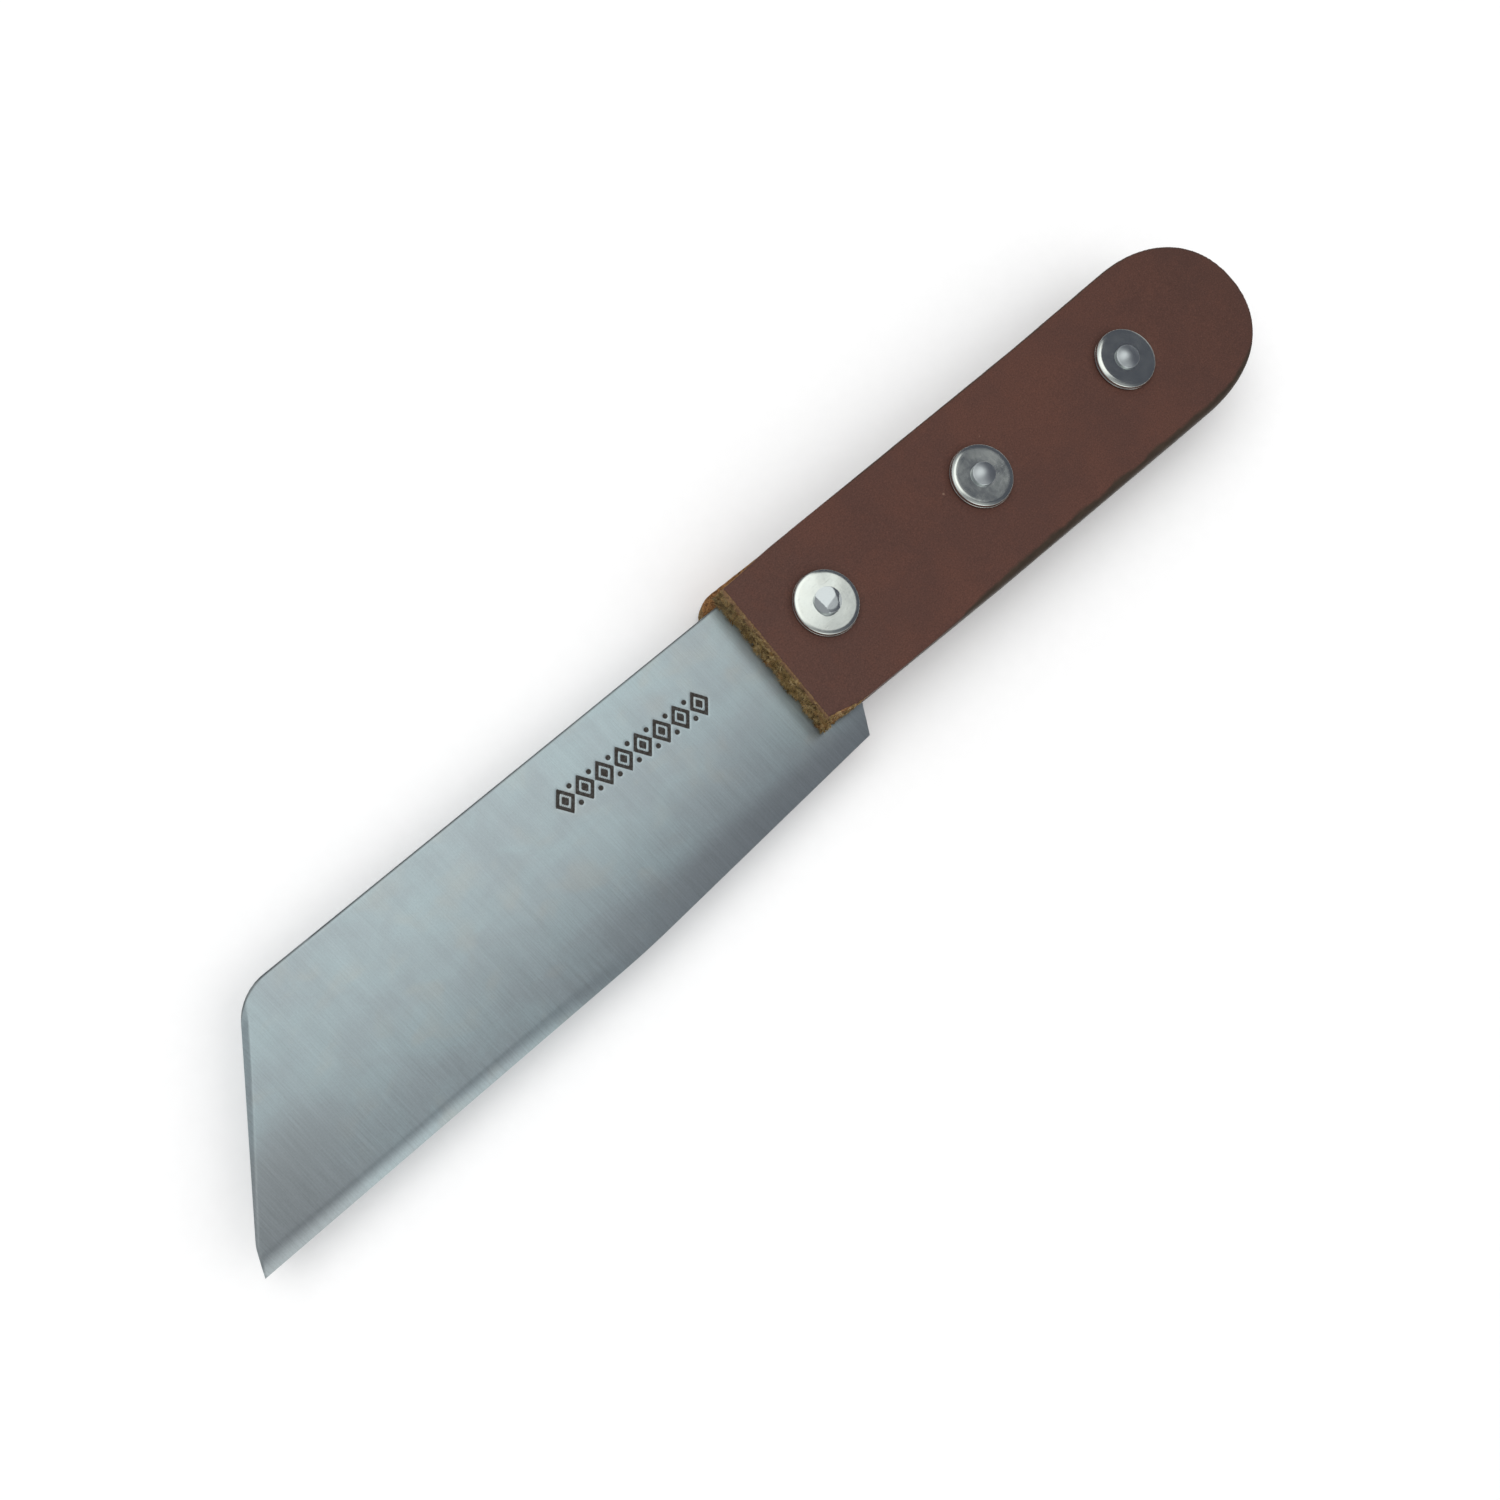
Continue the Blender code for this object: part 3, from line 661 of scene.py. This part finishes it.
def half_thickness(points):
    """Half the blade's thickness over each XY point."""
    from_edge = distance_to(points, cutting_edge())
    from_toe = distance_to(points, toe())
    from_spine = np.maximum(0.0, spine_gap(points))
    x, y = points[:, 0], points[:, 1]
    ground = 1 - ease(*GROUND_X, x)
    width = BEVEL + (BEVEL_TIP - BEVEL) * (1 - ease(TIP_X, TIP_X + BEVEL_TIP_LONG, x))
    fall = np.clip(1 - from_edge / BELLY, 0.0, 1.0)
    drop = BELLY_DROP_HEEL - (BELLY_DROP_HEEL - BELLY_DROP) * ground
    face = BLADE_HALF - drop * fall**2
    lowest = HEEL_HALF - (HEEL_HALF - EDGE_HALF) * ground
    cut = BLADE_HALF - drop - lowest
    half = face - cut * np.clip(1 - from_edge / width, 0.0, 1.0) ** 2
    chamfer = TOE_CHAMFER_TIP + (TOE_CHAMFER - TOE_CHAMFER_TIP) * ease(TIP_Y, TOE_CHAMFER_Y, y)
    chamfer = chamfer * (1 - ease(*TOE_CHAMFER_END, y))
    half = half - TOE_CHAMFER_SLOPE * np.maximum(0.0, chamfer - from_toe)
    inside = np.clip(1 - from_spine / SPINE_ROUND, 0.0, 1.0)
    half = half - SPINE_ROUND * (1 - np.sqrt(1 - inside * inside))
    half = half - TANG_SINK * ease(TANG_SINK_X, HEEL_TOP_X, x)
    return np.maximum(half, EDGE_HALF)


def spine_gap(points):
    """How far each XY point lies below the spine, which is straight from the toe's corner on."""
    corner = toe()[-1]
    share = (points[:, 0] - corner[0]) / (BLADE_END_X - corner[0])
    return corner[1] + share * (SPINE_Y - corner[1]) - points[:, 1]


def ground_blade():
    """The ground blade as a closed mesh."""
    patch = blade_patch()
    across, up = patch.shape[:2]
    flat = patch.reshape(-1, 2)
    half = half_thickness(flat)
    etched = ETCH_DEPTH * (1 - ease(-ETCH_SOFT, ETCH_SOFT, mark_distance(flat)))
    top = np.column_stack([flat, MID_Z + half - etched])
    bottom = np.column_stack([flat, MID_Z - half])
    index = np.arange(across * up).reshape(across, up)
    quads = np.stack([index[:-1, :-1], index[1:, :-1], index[1:, 1:], index[:-1, 1:]], axis=-1)
    quads = quads.reshape(-1, 4)
    rim = np.concatenate([index[:-1, 0], index[-1, :-1], index[:0:-1, -1], index[0, :0:-1]])
    following = np.roll(rim, -1)
    under = across * up
    walls = np.stack([rim + under, following + under, following, rim], axis=-1)
    faces = np.concatenate([quads, quads[:, ::-1] + under, walls])
    mesh = bpy.data.meshes.new("ground_blade")
    mesh.from_pydata(np.vstack([top, bottom]).tolist(), [], faces.tolist())
    mesh.update()
    return mesh


def tang_plate():
    """The tang under the leather as a closed plate."""
    front = [[TANG_FRONT_X, SHOULDER_Y], [TANG_FRONT_X, TANG_SPINE_Y]]
    path = even(np.vstack([front[:1], grip(), front[1:]]), OUTLINE_STEP)
    ring = inset_ring(path, np.full(len(path), TANG_INSET))
    heights = (MID_Z - TANG_HALF, MID_Z + TANG_HALF)
    return stack([[(x, y, z) for x, y in ring] for z in heights], "tang")


def make_blade(material):
    """The ground blade and its tang in one piece, drilled, with the distances that its material reads."""
    blade = new_object("blade_rough", ground_blade(), material)
    tang = new_object("tang", tang_plate(), material)
    boolean(blade, "UNION", tang)
    cutters = drilled(blade)
    mesh = evaluated_copy(blade, "blade_steel")
    for spent in (blade, tang, *cutters):
        remove(spent)
    points = coordinates(mesh)
    flat = points[:, :2]
    set_values(mesh, "mark_distance", np.where(points[:, 2] > MID_Z, mark_distance(flat), NOWHERE))
    from_back = distance_to(flat, toe()) + 1.0 * MM * (1 - ease(*DARK_LINE_FADE, flat[:, 1]))
    from_back = np.minimum(from_back, spine_gap(flat))
    set_values(mesh, "spine_distance", np.where(flat[:, 0] < 0, from_back, NOWHERE))
    smooth(mesh, 30.0)
    hand_over(new_object("blade_steel", mesh, material), "blade")


# ---- leather


def inset_ring(path, amounts):
    """The outline with each point moved inwards by its own amount."""
    before, after = np.roll(path, 1, axis=0), np.roll(path, -1, axis=0)
    along = after - before
    inward = np.stack([-along[:, 1], along[:, 0]], axis=1)
    inward /= np.linalg.norm(inward, axis=1)[:, None]
    return path + inward * np.asarray(amounts)[:, None]


def leather_blank(path, rims, side):
    """A closed slab with this outline, its outer rim rounded by each point's own radius."""
    nothing = np.zeros(len(path))
    foot = 0.12 * MM
    steps = [(nothing + foot, nothing + LEATHER_INNER), (nothing, nothing + LEATHER_INNER + foot)]
    for angle in np.radians(np.linspace(0.0, 90.0, 6)):
        steps.append((rims * (1 - np.cos(angle)), LEATHER_OUTER - rims * (1 - np.sin(angle))))
    rings = [np.column_stack([inset_ring(path, inset), MID_Z + side * height]) for inset, height in steps]
    return stack([ring.tolist() for ring in rings], "leather_blank")


def shank_cutter(x):
    """A bar through the whole handle, which cuts one rivet hole."""
    shape = bmesh.new()
    radii = {"radius1": SHANK_RADIUS, "radius2": SHANK_RADIUS}
    bmesh.ops.create_cone(shape, cap_ends=True, segments=32, depth=30 * MM, **radii)
    cutter = new_object("shank_cutter", closed_mesh(shape, "shank_cutter"))
    cutter.location = (x, 0.0, MID_Z)
    return cutter


def rivet_places():
    """X of each rivet, from the front."""
    boxes = [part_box("burr_" + name) for name in RIVET_NAMES]
    return [(low.x + high.x) / 2 for low, high in boxes]


def drilled(obj):
    """Gives the object its rivet holes, and returns what cuts them."""
    cutters = [shank_cutter(x) for x in rivet_places()]
    for cutter in cutters:
        boolean(obj, "DIFFERENCE", cutter)
    return cutters


def remeshed(blank, material, name):
    """The slab with its rivet holes, as an even fine mesh."""
    guide = new_object(name + "_blank", blank, material)
    cutters = drilled(guide)
    voxels = guide.modifiers.new("Voxels", "REMESH")
    voxels.mode = "VOXEL"
    voxels.voxel_size = VOXEL
    relax = guide.modifiers.new("Relax", "SMOOTH")
    relax.factor = 0.5
    relax.iterations = 2
    mesh = evaluated_copy(guide, name)
    for spent in (guide, *cutters):
        remove(spent)
    return mesh


def burr_dents(points):
    """How far the leather is drawn down round the burrs or heads, as a share of its full depth."""
    share = np.zeros(len(points))
    for x in rivet_places():
        away = np.hypot(points[:, 0] - x, points[:, 1])
        share = np.maximum(share, 1 - ease(BURR_RADIUS - DENT_IN, BURR_RADIUS + DENT_OUT, away))
    return share


def top_front_x(y, share):
    """X of the top scale's front end, at a share of its height above the blade."""
    bulge = np.maximum(0.0, 1 - ((y - FOOT_BULGE_Y) / FOOT_BULGE_REACH) ** 2)
    foot = TOP_LOW.x + FOOT_BULGE * bulge
    rim = TOP_RIM_X - (TOP_RIM_Y - y) * TOP_RIM_SLANT
    return foot + (rim - foot) * share


def rear_front_x(_, share):
    """X of the bottom scale's front end, which is the same at every height up the blade."""
    return REAR_LOW.x + REAR_LEAN * share


def corner_flare(x, share):
    """How far the top scale's lower side leans in, behind its front corner."""
    return CORNER_FLARE * share * (1 - ease(*CORNER_FLARE_X, x))


def shape_leather(mesh, side, front_x):
    """Slants the front end, trims its corners, dents the face at the rivets and makes it a little uneven."""
    points = coordinates(mesh)
    x, y = points[:, 0].copy(), points[:, 1].copy()
    height = side * (points[:, 2] - MID_Z)
    share = np.clip((height - LEATHER_INNER) / (LEATHER_OUTER - LEATHER_INNER), 0.0, 1.0)
    front = x.min()
    near = 1 - ease(front, front + FRONT_BLEND, x)
    x += near * (front_x(y, share) - front)
    if side > 0:
        lower, upper = ease(-7.0 * MM, -13.0 * MM, y), ease(4.0 * MM, 10.5 * MM, y)
        y += corner_flare(x, share) * lower
        y -= SPINE_TRIM * share * upper * (1 - ease(-10.5 * MM, 0.0, x))
    outward = ease(0.75, 1.0, share)
    height -= DENT_DEPTH * burr_dents(np.column_stack([x, y])) * outward
    places = np.column_stack([x, y, height])
    waves, grain = rough(places, 11 * MM, 1), rough(places, 2.5 * MM, 2)
    height += outward * (0.05 * MM * waves + 0.018 * MM * grain)
    set_coordinates(mesh, np.column_stack([x, y, MID_Z + side * height]))
    return share


def clumps(y):
    """How far the matted strands stand out along the front end, from about 0 to 1."""
    line = np.column_stack([y, np.zeros_like(y), np.zeros_like(y)])
    wide, narrow = rough(line, 1.5 * MM, 21), rough(line, 0.5 * MM, 22)
    return np.clip(0.5 + 0.6 * wide + 0.35 * narrow, 0.0, 1.0)


def clump_reach(stand, share):
    """How far the raw end stands out where its strands clump, less and less towards the rim."""
    return CLUMP_REACH * (stand - 0.3) * (1 - share) ** 1.5


def lower_shade_band(points, outline):
    """Where painted shade darkens the face along its lower rim: a band of uneven width that fades in behind
    the front.
    """
    x, y = points[:, 0], points[:, 1]
    width = SHADE_BAND_WIDTH * ease(8.0 * MM, 26.0 * MM, x) * (1 - ease(74.0 * MM, 88.0 * MM, x))
    width *= 0.8 + 0.35 * rough(points, 5.0 * MM, 9) + 0.15 * rough(points, 1.2 * MM, 10)
    from_rim = distance_to(points[:, :2], even(outline, 1.5 * MM))
    inside = 1 - ease(width * 0.75, width + 0.15 * MM, from_rim)
    return (y < 0) * inside * ease(0.1 * MM, 0.4 * MM, width)


def mask_leather(mesh, side, front_x, outline, share):
    """Stores where the leather is raw, cut, or burnished with a painted shade band, and the pale lip, then
    roughens the raw end.
    """
    points, normals = coordinates(mesh), vertex_normals(mesh)
    x, y = points[:, 0], points[:, 1]
    upward = np.abs(normals[:, 2])
    from_front = x - front_x(y, share)
    front = ease(0.25, 0.6, -normals[:, 0]) * (1 - ease(0.5 * MM, 1.2 * MM, from_front))
    lower = (y < 0) * (1 - ease(-6.0 * MM, -2.5 * MM, x))
    upper = (y > 0) * (1 - ease(-7.0 * MM, 1.0 * MM, x))
    sides = (1 - ease(0.35, 0.75, upward)) * np.maximum(lower, upper)
    flesh_side = ease(0.3, 0.7, -side * normals[:, 2])
    raw = np.clip(front + sides + flesh_side, 0.0, 1.0)
    roll = (1 - ease(0.70, 0.97, upward)) * ease(4.0 * MM, 20.0 * MM, x)
    upright = (1 - ease(0.25, 0.50, upward)) * ease(-5.0 * MM, 3.0 * MM, x)
    # burnished edges where the rim rolls over or stands upright, and painted shade in the band along the
    # lower rim
    burnish_and_shade = np.maximum(np.maximum(roll, upright), lower_shade_band(points, outline)) * (1 - raw)
    set_values(mesh, "raw", raw)
    set_values(mesh, "burnish_and_shade", burnish_and_shade)
    set_values(mesh, "lip", ease(0.80, 0.92, share) * front)
    set_values(mesh, "cut", np.maximum(sides * ease(0.6 * MM, 1.8 * MM, from_front), flesh_side))
    depth = 0.24 * MM * rough(points, 0.75 * MM, 5) + 0.16 * MM * rough(points, 1.7 * MM, 6)
    depth += clump_reach(clumps(y), share)
    depth *= front * (1 - ease(0.84, 0.93, share))
    depth += 0.06 * MM * rough(points, 0.8 * MM, 8) * sides
    set_coordinates(mesh, points + normals * depth[:, None])


def rim_radii(path):
    """Rounding of the outer rim: sharp at the front, full along the lower side and thin along the rest."""
    x, y = path[:, 0], path[:, 1]
    thin = np.maximum(ease(-7.0 * MM, 4.0 * MM, y), ease(74.0 * MM, 84.0 * MM, x))
    full = RIM_RADIUS - RIM_LOSS * thin
    share = np.where(y < 0, ease(-2.0 * MM, 30.0 * MM, x), ease(-8.0 * MM, 14.0 * MM, x))
    return RIM_RADIUS_FRONT + (full - RIM_RADIUS_FRONT) * share


def make_scale(name, node, outline, side, front_x, material):
    path = even(outline, OUTLINE_STEP)
    mesh = remeshed(leather_blank(path, rim_radii(path), side), material, name)
    share = shape_leather(mesh, side, front_x)
    mask_leather(mesh, side, front_x, outline, share)
    mesh.shade_smooth()
    hand_over(new_object(name, mesh, material), node)


def top_outline():
    front = TOP_LOW.x
    return np.vstack([[[front, FRONT_EDGE_Y]], grip(), [[front, TOP_SPINE_Y]]])


def rear_outline():
    front = REAR_LOW.x
    corner = fillet(grip()[-1], (front, REAR_SPINE_Y), (front, FRONT_EDGE_Y), REAR_CORNER)
    return np.vstack([[[front, FRONT_EDGE_Y]], grip(), corner])


def strand(shape, layer, root, aim, sag, length, thick, tint):
    """Adds one tapering three-sided strand that starts at root and droops."""
    side = np.sign(root.z - MID_Z)
    rings = []
    for along in np.linspace(0.0, 1.0, 4):
        middle = root + (aim * along + sag * along * along) * length
        middle.z = MID_Z + side * max(side * (middle.z - MID_Z), STRAND_FLOOR)
        arm = aim.orthogonal().normalized() * thick * (1 - 0.75 * along)
        turns = [Matrix.Rotation(turn * np.radians(120), 3, aim) for turn in range(3)]
        ring = [shape.verts.new(middle + turn @ arm) for turn in turns]
        for vertex in ring:
            vertex[layer] = tint
        rings.append(ring)
    for low, high in zip(rings, rings[1:]):
        join_rings(shape, low, high)
    shape.faces.new(rings[0][::-1])
    shape.faces.new(rings[-1])


def strand_height(share):
    """Height above the mid-plane at a share of the leather's thickness."""
    return LEATHER_INNER + share * (LEATHER_OUTER - LEATHER_INNER)


def finish_fibres(shape, name, material):
    mesh = closed_mesh(shape, name)
    mesh.shade_smooth()
    hand_over(new_object(name, mesh, material))


def make_fibres(name, tufts, side, front_x, span, material):
    """Tufts of short tapering strands that stand out of a scale's raw front end, longer where they clump."""
    shape = bmesh.new()
    layer = shape.verts.layers.float.new("tint")
    places = random.uniform(*span, tufts)
    for middle, stand in zip(places, clumps(places)):
        level, tint = random.beta(1.0, 1.5), random.uniform()
        lean = (random.normal(0.0, 0.7), random.normal(0.1, 0.5))
        reach = random.uniform(0.3, 0.65) * MM * (0.5 + 0.9 * stand) * (1.25 - 0.6 * level)
        for _ in range(STRANDS):
            y = middle + random.normal(0.0, 0.13) * MM
            share = np.clip(level + random.normal(0.0, 0.045), 0.0, 1.0)
            x = front_x(y, share) - clump_reach(stand, share) + 0.12 * MM
            root = Vector((x, y, MID_Z + side * strand_height(share)))
            aim = Vector((-1.0, random.normal(lean[0], 0.35), side * random.normal(lean[1], 0.3)))
            sag = Vector((0.0, random.normal(0.0, 0.4), -side * random.uniform(0.0, 0.6)))
            length = reach * random.uniform(0.6, 1.1)
            thick = random.uniform(0.025, 0.065) * MM
            shade = tint + random.normal(0.0, 0.13)
            strand(shape, layer, root, aim.normalized(), sag, length, thick, shade)
    finish_fibres(shape, name, material)


def make_side_fuzz(name, tufts, material):
    """Short strands on the raw lower side of the top scale, behind its front corner."""
    shape = bmesh.new()
    layer = shape.verts.layers.float.new("tint")
    for _ in range(tufts):
        middle, level, tint = random.uniform(-11.4, -5.4) * MM, random.uniform(), random.uniform()
        for _ in range(STRANDS):
            x = middle + random.normal(0.0, 0.12) * MM
            share = np.clip(level + random.normal(0.0, 0.06), 0.0, 1.0)
            wall = np.interp(x, (TOP_LOW.x, SHOULDER_X), (FRONT_EDGE_Y, SHOULDER_Y))
            wall += corner_flare(x, share)
            root = Vector((x, wall + 0.1 * MM, MID_Z + strand_height(share)))
            aim = Vector((random.normal(-0.2, 0.4), -1.0, random.normal(0.0, 0.4)))
            sag = Vector((random.normal(0.0, 0.4), 0.0, -random.uniform(0.0, 0.5)))
            length = random.uniform(0.12, 0.38) * MM
            thick = random.uniform(0.03, 0.06) * MM
            strand(shape, layer, root, aim.normalized(), sag, length, thick, tint)
    finish_fibres(shape, name, material)


# ---- burrs and rivets


def arc(centre_r, centre_z, radius, start, end, steps):
    """Profile points (radius, height) along an arc, angles in degrees."""
    angles = np.radians(np.linspace(start, end, steps))
    return [(centre_r + radius * np.cos(a), centre_z + radius * np.sin(a)) for a in angles]


def turned(name, profile, material):
    """A closed piece turned about Z from a profile of (radius, height), closed on itself or on the axis."""
    shape = bmesh.new()
    angles = np.linspace(0.0, 2 * np.pi, TURN_STEPS, endpoint=False)
    rings = []
    for radius, height in profile:
        spokes = angles if radius > 0.0 else angles[:1]
        rings.append([shape.verts.new((radius * np.cos(a), radius * np.sin(a), height)) for a in spokes])
    if profile[0][0] > 0.0:
        rings.append(rings[0])
    for low, high in zip(rings, rings[1:]):
        for i in range(TURN_STEPS):
            below = (low[i % len(low)], low[(i + 1) % len(low)])
            above = (high[(i + 1) % len(high)], high[i % len(high)])
            shape.faces.new(list(dict.fromkeys(below + above)))
    return new_object(name, closed_mesh(shape, name), material)


def seat(piece, x, node, degrees):
    """Shades a turned piece, moves it to its rivet and ties it to the frame."""
    smooth(piece.data, degrees)
    piece.location = (x, 0.0, 0.0)
    hand_over(piece, node)


def make_burr(name, x, shoulder, fall, crown, material):
    """A stamped washer: its flat face falls away over a shoulder to a rolled rim and a thin flange."""
    low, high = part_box("burr_" + name)
    bottom, top = low.z, high.z
    bore = SHANK_RADIUS + 0.08 * MM
    rim = 0.2 * MM
    flange = 0.12 * MM
    edge = BURR_RADIUS - 0.14 * MM - rim
    face = top - 0.03 * MM
    sunk = crown * (edge - shoulder) ** 2
    profile = [(bore, bottom + 0.1 * MM)]
    profile += [(r, face - crown * r * r) for r in np.linspace(bore, edge - shoulder, 9)]
    profile += [(edge - shoulder * (1 - s), face - sunk - fall * s * s) for s in np.linspace(0.15, 1.0, 8)]
    profile += arc(edge, face - sunk - fall - rim, rim, 62, 0, 6)
    profile += arc(BURR_RADIUS - flange, bottom + 0.3 * MM, flange, 60, -90, 8)
    profile += [(BURR_RADIUS - 0.2 * MM, bottom), (bore + 0.1 * MM, bottom)]
    burr = turned("burr_" + name + "_plated", profile, material)
    points = coordinates(burr.data)
    wave = 0.012 * MM * rough(points, 2.6 * MM, 3 + 40 * x)
    points[:, 2] += wave * (points[:, 2] > top - 0.3 * MM)
    set_coordinates(burr.data, points)
    seat(burr, x, "burr_" + name, 32.0)


def hammered(points, base, top, flats):
    """Cuts a dome down with tilted planes, the flats that the hammer leaves.

    A plane falls by its slope towards its angle, and passes its drop (mm) below the dome's top at the axis.
    """
    for angle, slope, drop in flats:
        out = points[:, 0] * np.cos(angle) + points[:, 1] * np.sin(angle)
        plane = top - drop * MM - slope * out
        over = points[:, 2] > base
        points[:, 2] = np.where(over, np.minimum(points[:, 2], np.maximum(plane, base)), points[:, 2])
    return points


def rivet_profile(radius, rise, base, bottom, top):
    """From the hammered end's top down its wall, the shank and round the head to the axis."""
    inner = radius - PEEN_CREASE
    head_top = REAR_LOW.z + HEAD_SUNK
    head = BURR_RADIUS - HEAD_ROUND
    profile = [(inner * share, top - rise * share**2) for share in np.linspace(0.0, 1.0, 16)]
    profile += arc(inner, top - rise - PEEN_CREASE, PEEN_CREASE, 68, 0, 6)
    profile += [(radius, base + 0.12 * MM), (radius - 0.04 * MM, base + 0.03 * MM)]
    profile += [(radius - 0.13 * MM, base), (SHANK_RADIUS, base - 0.05 * MM), (SHANK_RADIUS, head_top)]
    profile += [(head, head_top), *arc(head, head_top - HEAD_ROUND, HEAD_ROUND, 60, 0, 4)]
    profile += arc(BURR_RADIUS - HEAD_EDGE, bottom + 0.5 * MM, HEAD_EDGE, -10, -80, 7)
    profile += [(r, bottom + 0.02 * MM) for r in (4.2 * MM, 3.0 * MM, 1.5 * MM)]
    return [*profile, (0.0, bottom)]


def make_rivet(name, x, radius, rise, dullness, lean, flats, material):
    """Flat head under the knife, shank through the layers, hammered end over the burr."""
    low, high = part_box("rivet_" + name)
    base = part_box("burr_" + name)[1].z - 0.08 * MM
    foot = base + 0.15 * MM
    profile = rivet_profile(radius, rise, base, low.z, high.z)
    rivet = turned("rivet_" + name + "_plated", profile, material)
    points = hammered(coordinates(rivet.data), foot, high.z, flats)
    points[:, 2] -= (points[:, 2] > foot) * lean * (radius - points[:, 0])
    set_coordinates(rivet.data, points)
    set_values(rivet.data, "hammered", (points[:, 2] > base) * dullness)
    seat(rivet, x, "rivet_" + name, 12.0)


# ---- stage


def make_floor():
    bpy.ops.mesh.primitive_grid_add(x_subdivisions=8, y_subdivisions=8, size=6.0)
    floor = bpy.context.object
    floor.name = "floor"
    floor.location = (0.0, 0.0, CAD_BOX[0].z)
    floor.data.materials.append(floor_material())


def make_light(name, place, power):
    """A soft square lamp, aimed at the front rivet, that mirrors don't show."""
    data = bpy.data.lights.new(name, "AREA")
    data.size = 0.7
    data.energy = power
    lamp = new_object(name, data)
    lamp.location = place
    lamp.rotation_euler = (-Vector(place)).to_track_quat("-Z", "Y").to_euler()
    lamp.visible_glossy = False


def make_world():
    """Plain pale surroundings, and for what metal mirrors bright soft panels in a darker room.

    x, y and z say which way a ray goes. The main panel is overhead and beyond the spine, the low one is
    beyond the cutting edge, and both stop before the butt's end of the room.
    """
    world = bpy.data.worlds.new("studio")
    bpy.context.scene.world = world
    world.use_nodes = True
    graph = Graph(world.node_tree)
    background = world.node_tree.nodes["Background"]
    x, y, z = graph.axes(graph.node("TexCoord").outputs["Generated"])
    main_panel = graph.times(graph.step(y, -0.075, 0.095), graph.step(y, 0.75, 0.30))
    main_panel = graph.times(main_panel, graph.span(x, -0.32, 0.06, 0.30, 1.02))
    main_panel = graph.times(main_panel, graph.span(y, 0.04, 0.17, 1.0, 1.14))
    low_panel = graph.times(graph.span(y, -0.06, -0.70, 0.0, 1.0), graph.step(y, -0.98, -0.88))
    low_panel = graph.times(low_panel, graph.span(x, -0.30, 0.24, 1.35, 0.04))
    room = graph.span(x, 0.05, 0.38, 0.25, 0.0)
    panels = graph.math("MAXIMUM", graph.math("ADD", main_panel, low_panel), room)
    panels = graph.times(panels, graph.step(x, 0.50, 0.38))
    panels = graph.times(panels, graph.step(z, 0.15, 0.45))
    horizon = graph.times(graph.step(z, 0.30, 0.04), graph.step(x, -0.5, 0.1))
    shown = graph.math("MAXIMUM", panels, graph.times(horizon, 0.8))
    mirrored = graph.mix(shown, (0.095, 0.10, 0.12, 1.0), (1.22, 1.235, 1.2, 1.0), clamp=False)
    seen = graph.node("LightPath").outputs["Is Glossy Ray"]
    graph.connect(background, {"Color": graph.mix(seen, grey(0.62), mirrored)})


def make_camera():
    """The knife seen from above its toe, its length running up to the right."""
    data = bpy.data.cameras.new("camera")
    data.lens = LENS
    data.clip_start = 10 * MM
    camera = new_object("camera", data)
    right = CAMERA_RIGHT.normalized()
    back = (CAMERA_BACK - right * CAMERA_BACK.dot(right)).normalized()
    rotation = Matrix((right, back.cross(right), back)).transposed()
    camera.matrix_world = Matrix.Translation(CAMERA_PLACE) @ rotation.to_4x4()
    bpy.context.scene.camera = camera


def main():
    steel = steel_material()
    leather = leather_material()
    fibres = fibre_material()
    nickel = nickel_material("plated_steel")
    make_blade(steel)
    make_scale("leather_top", "scale_top", top_outline(), 1, top_front_x, leather)
    make_scale("leather_rear", "scale_bottom", rear_outline(), -1, rear_front_x, leather)
    make_fibres("fibres_top", 680, 1, top_front_x, (-13.9 * MM, 10.9 * MM), fibres)
    make_side_fuzz("fibres_side", 80, fibres)
    make_fibres("fibres_rear", 80, -1, rear_front_x, (-13.4 * MM, 8.0 * MM), fibres)
    for name, x, burr, peen in zip(RIVET_NAMES, rivet_places(), BURRS, PEENS):
        make_burr(name, x, *burr, nickel)
        make_rivet(name, x, *peen, nickel)
    make_floor()
    make_world()
    make_light("key", (-0.15, 0.25, 0.75), 3.0)
    make_light("fill", (0.35, -0.35, 0.6), 1.6)
    make_camera()
    bpy.context.scene.view_settings.view_transform = "Standard"


main()
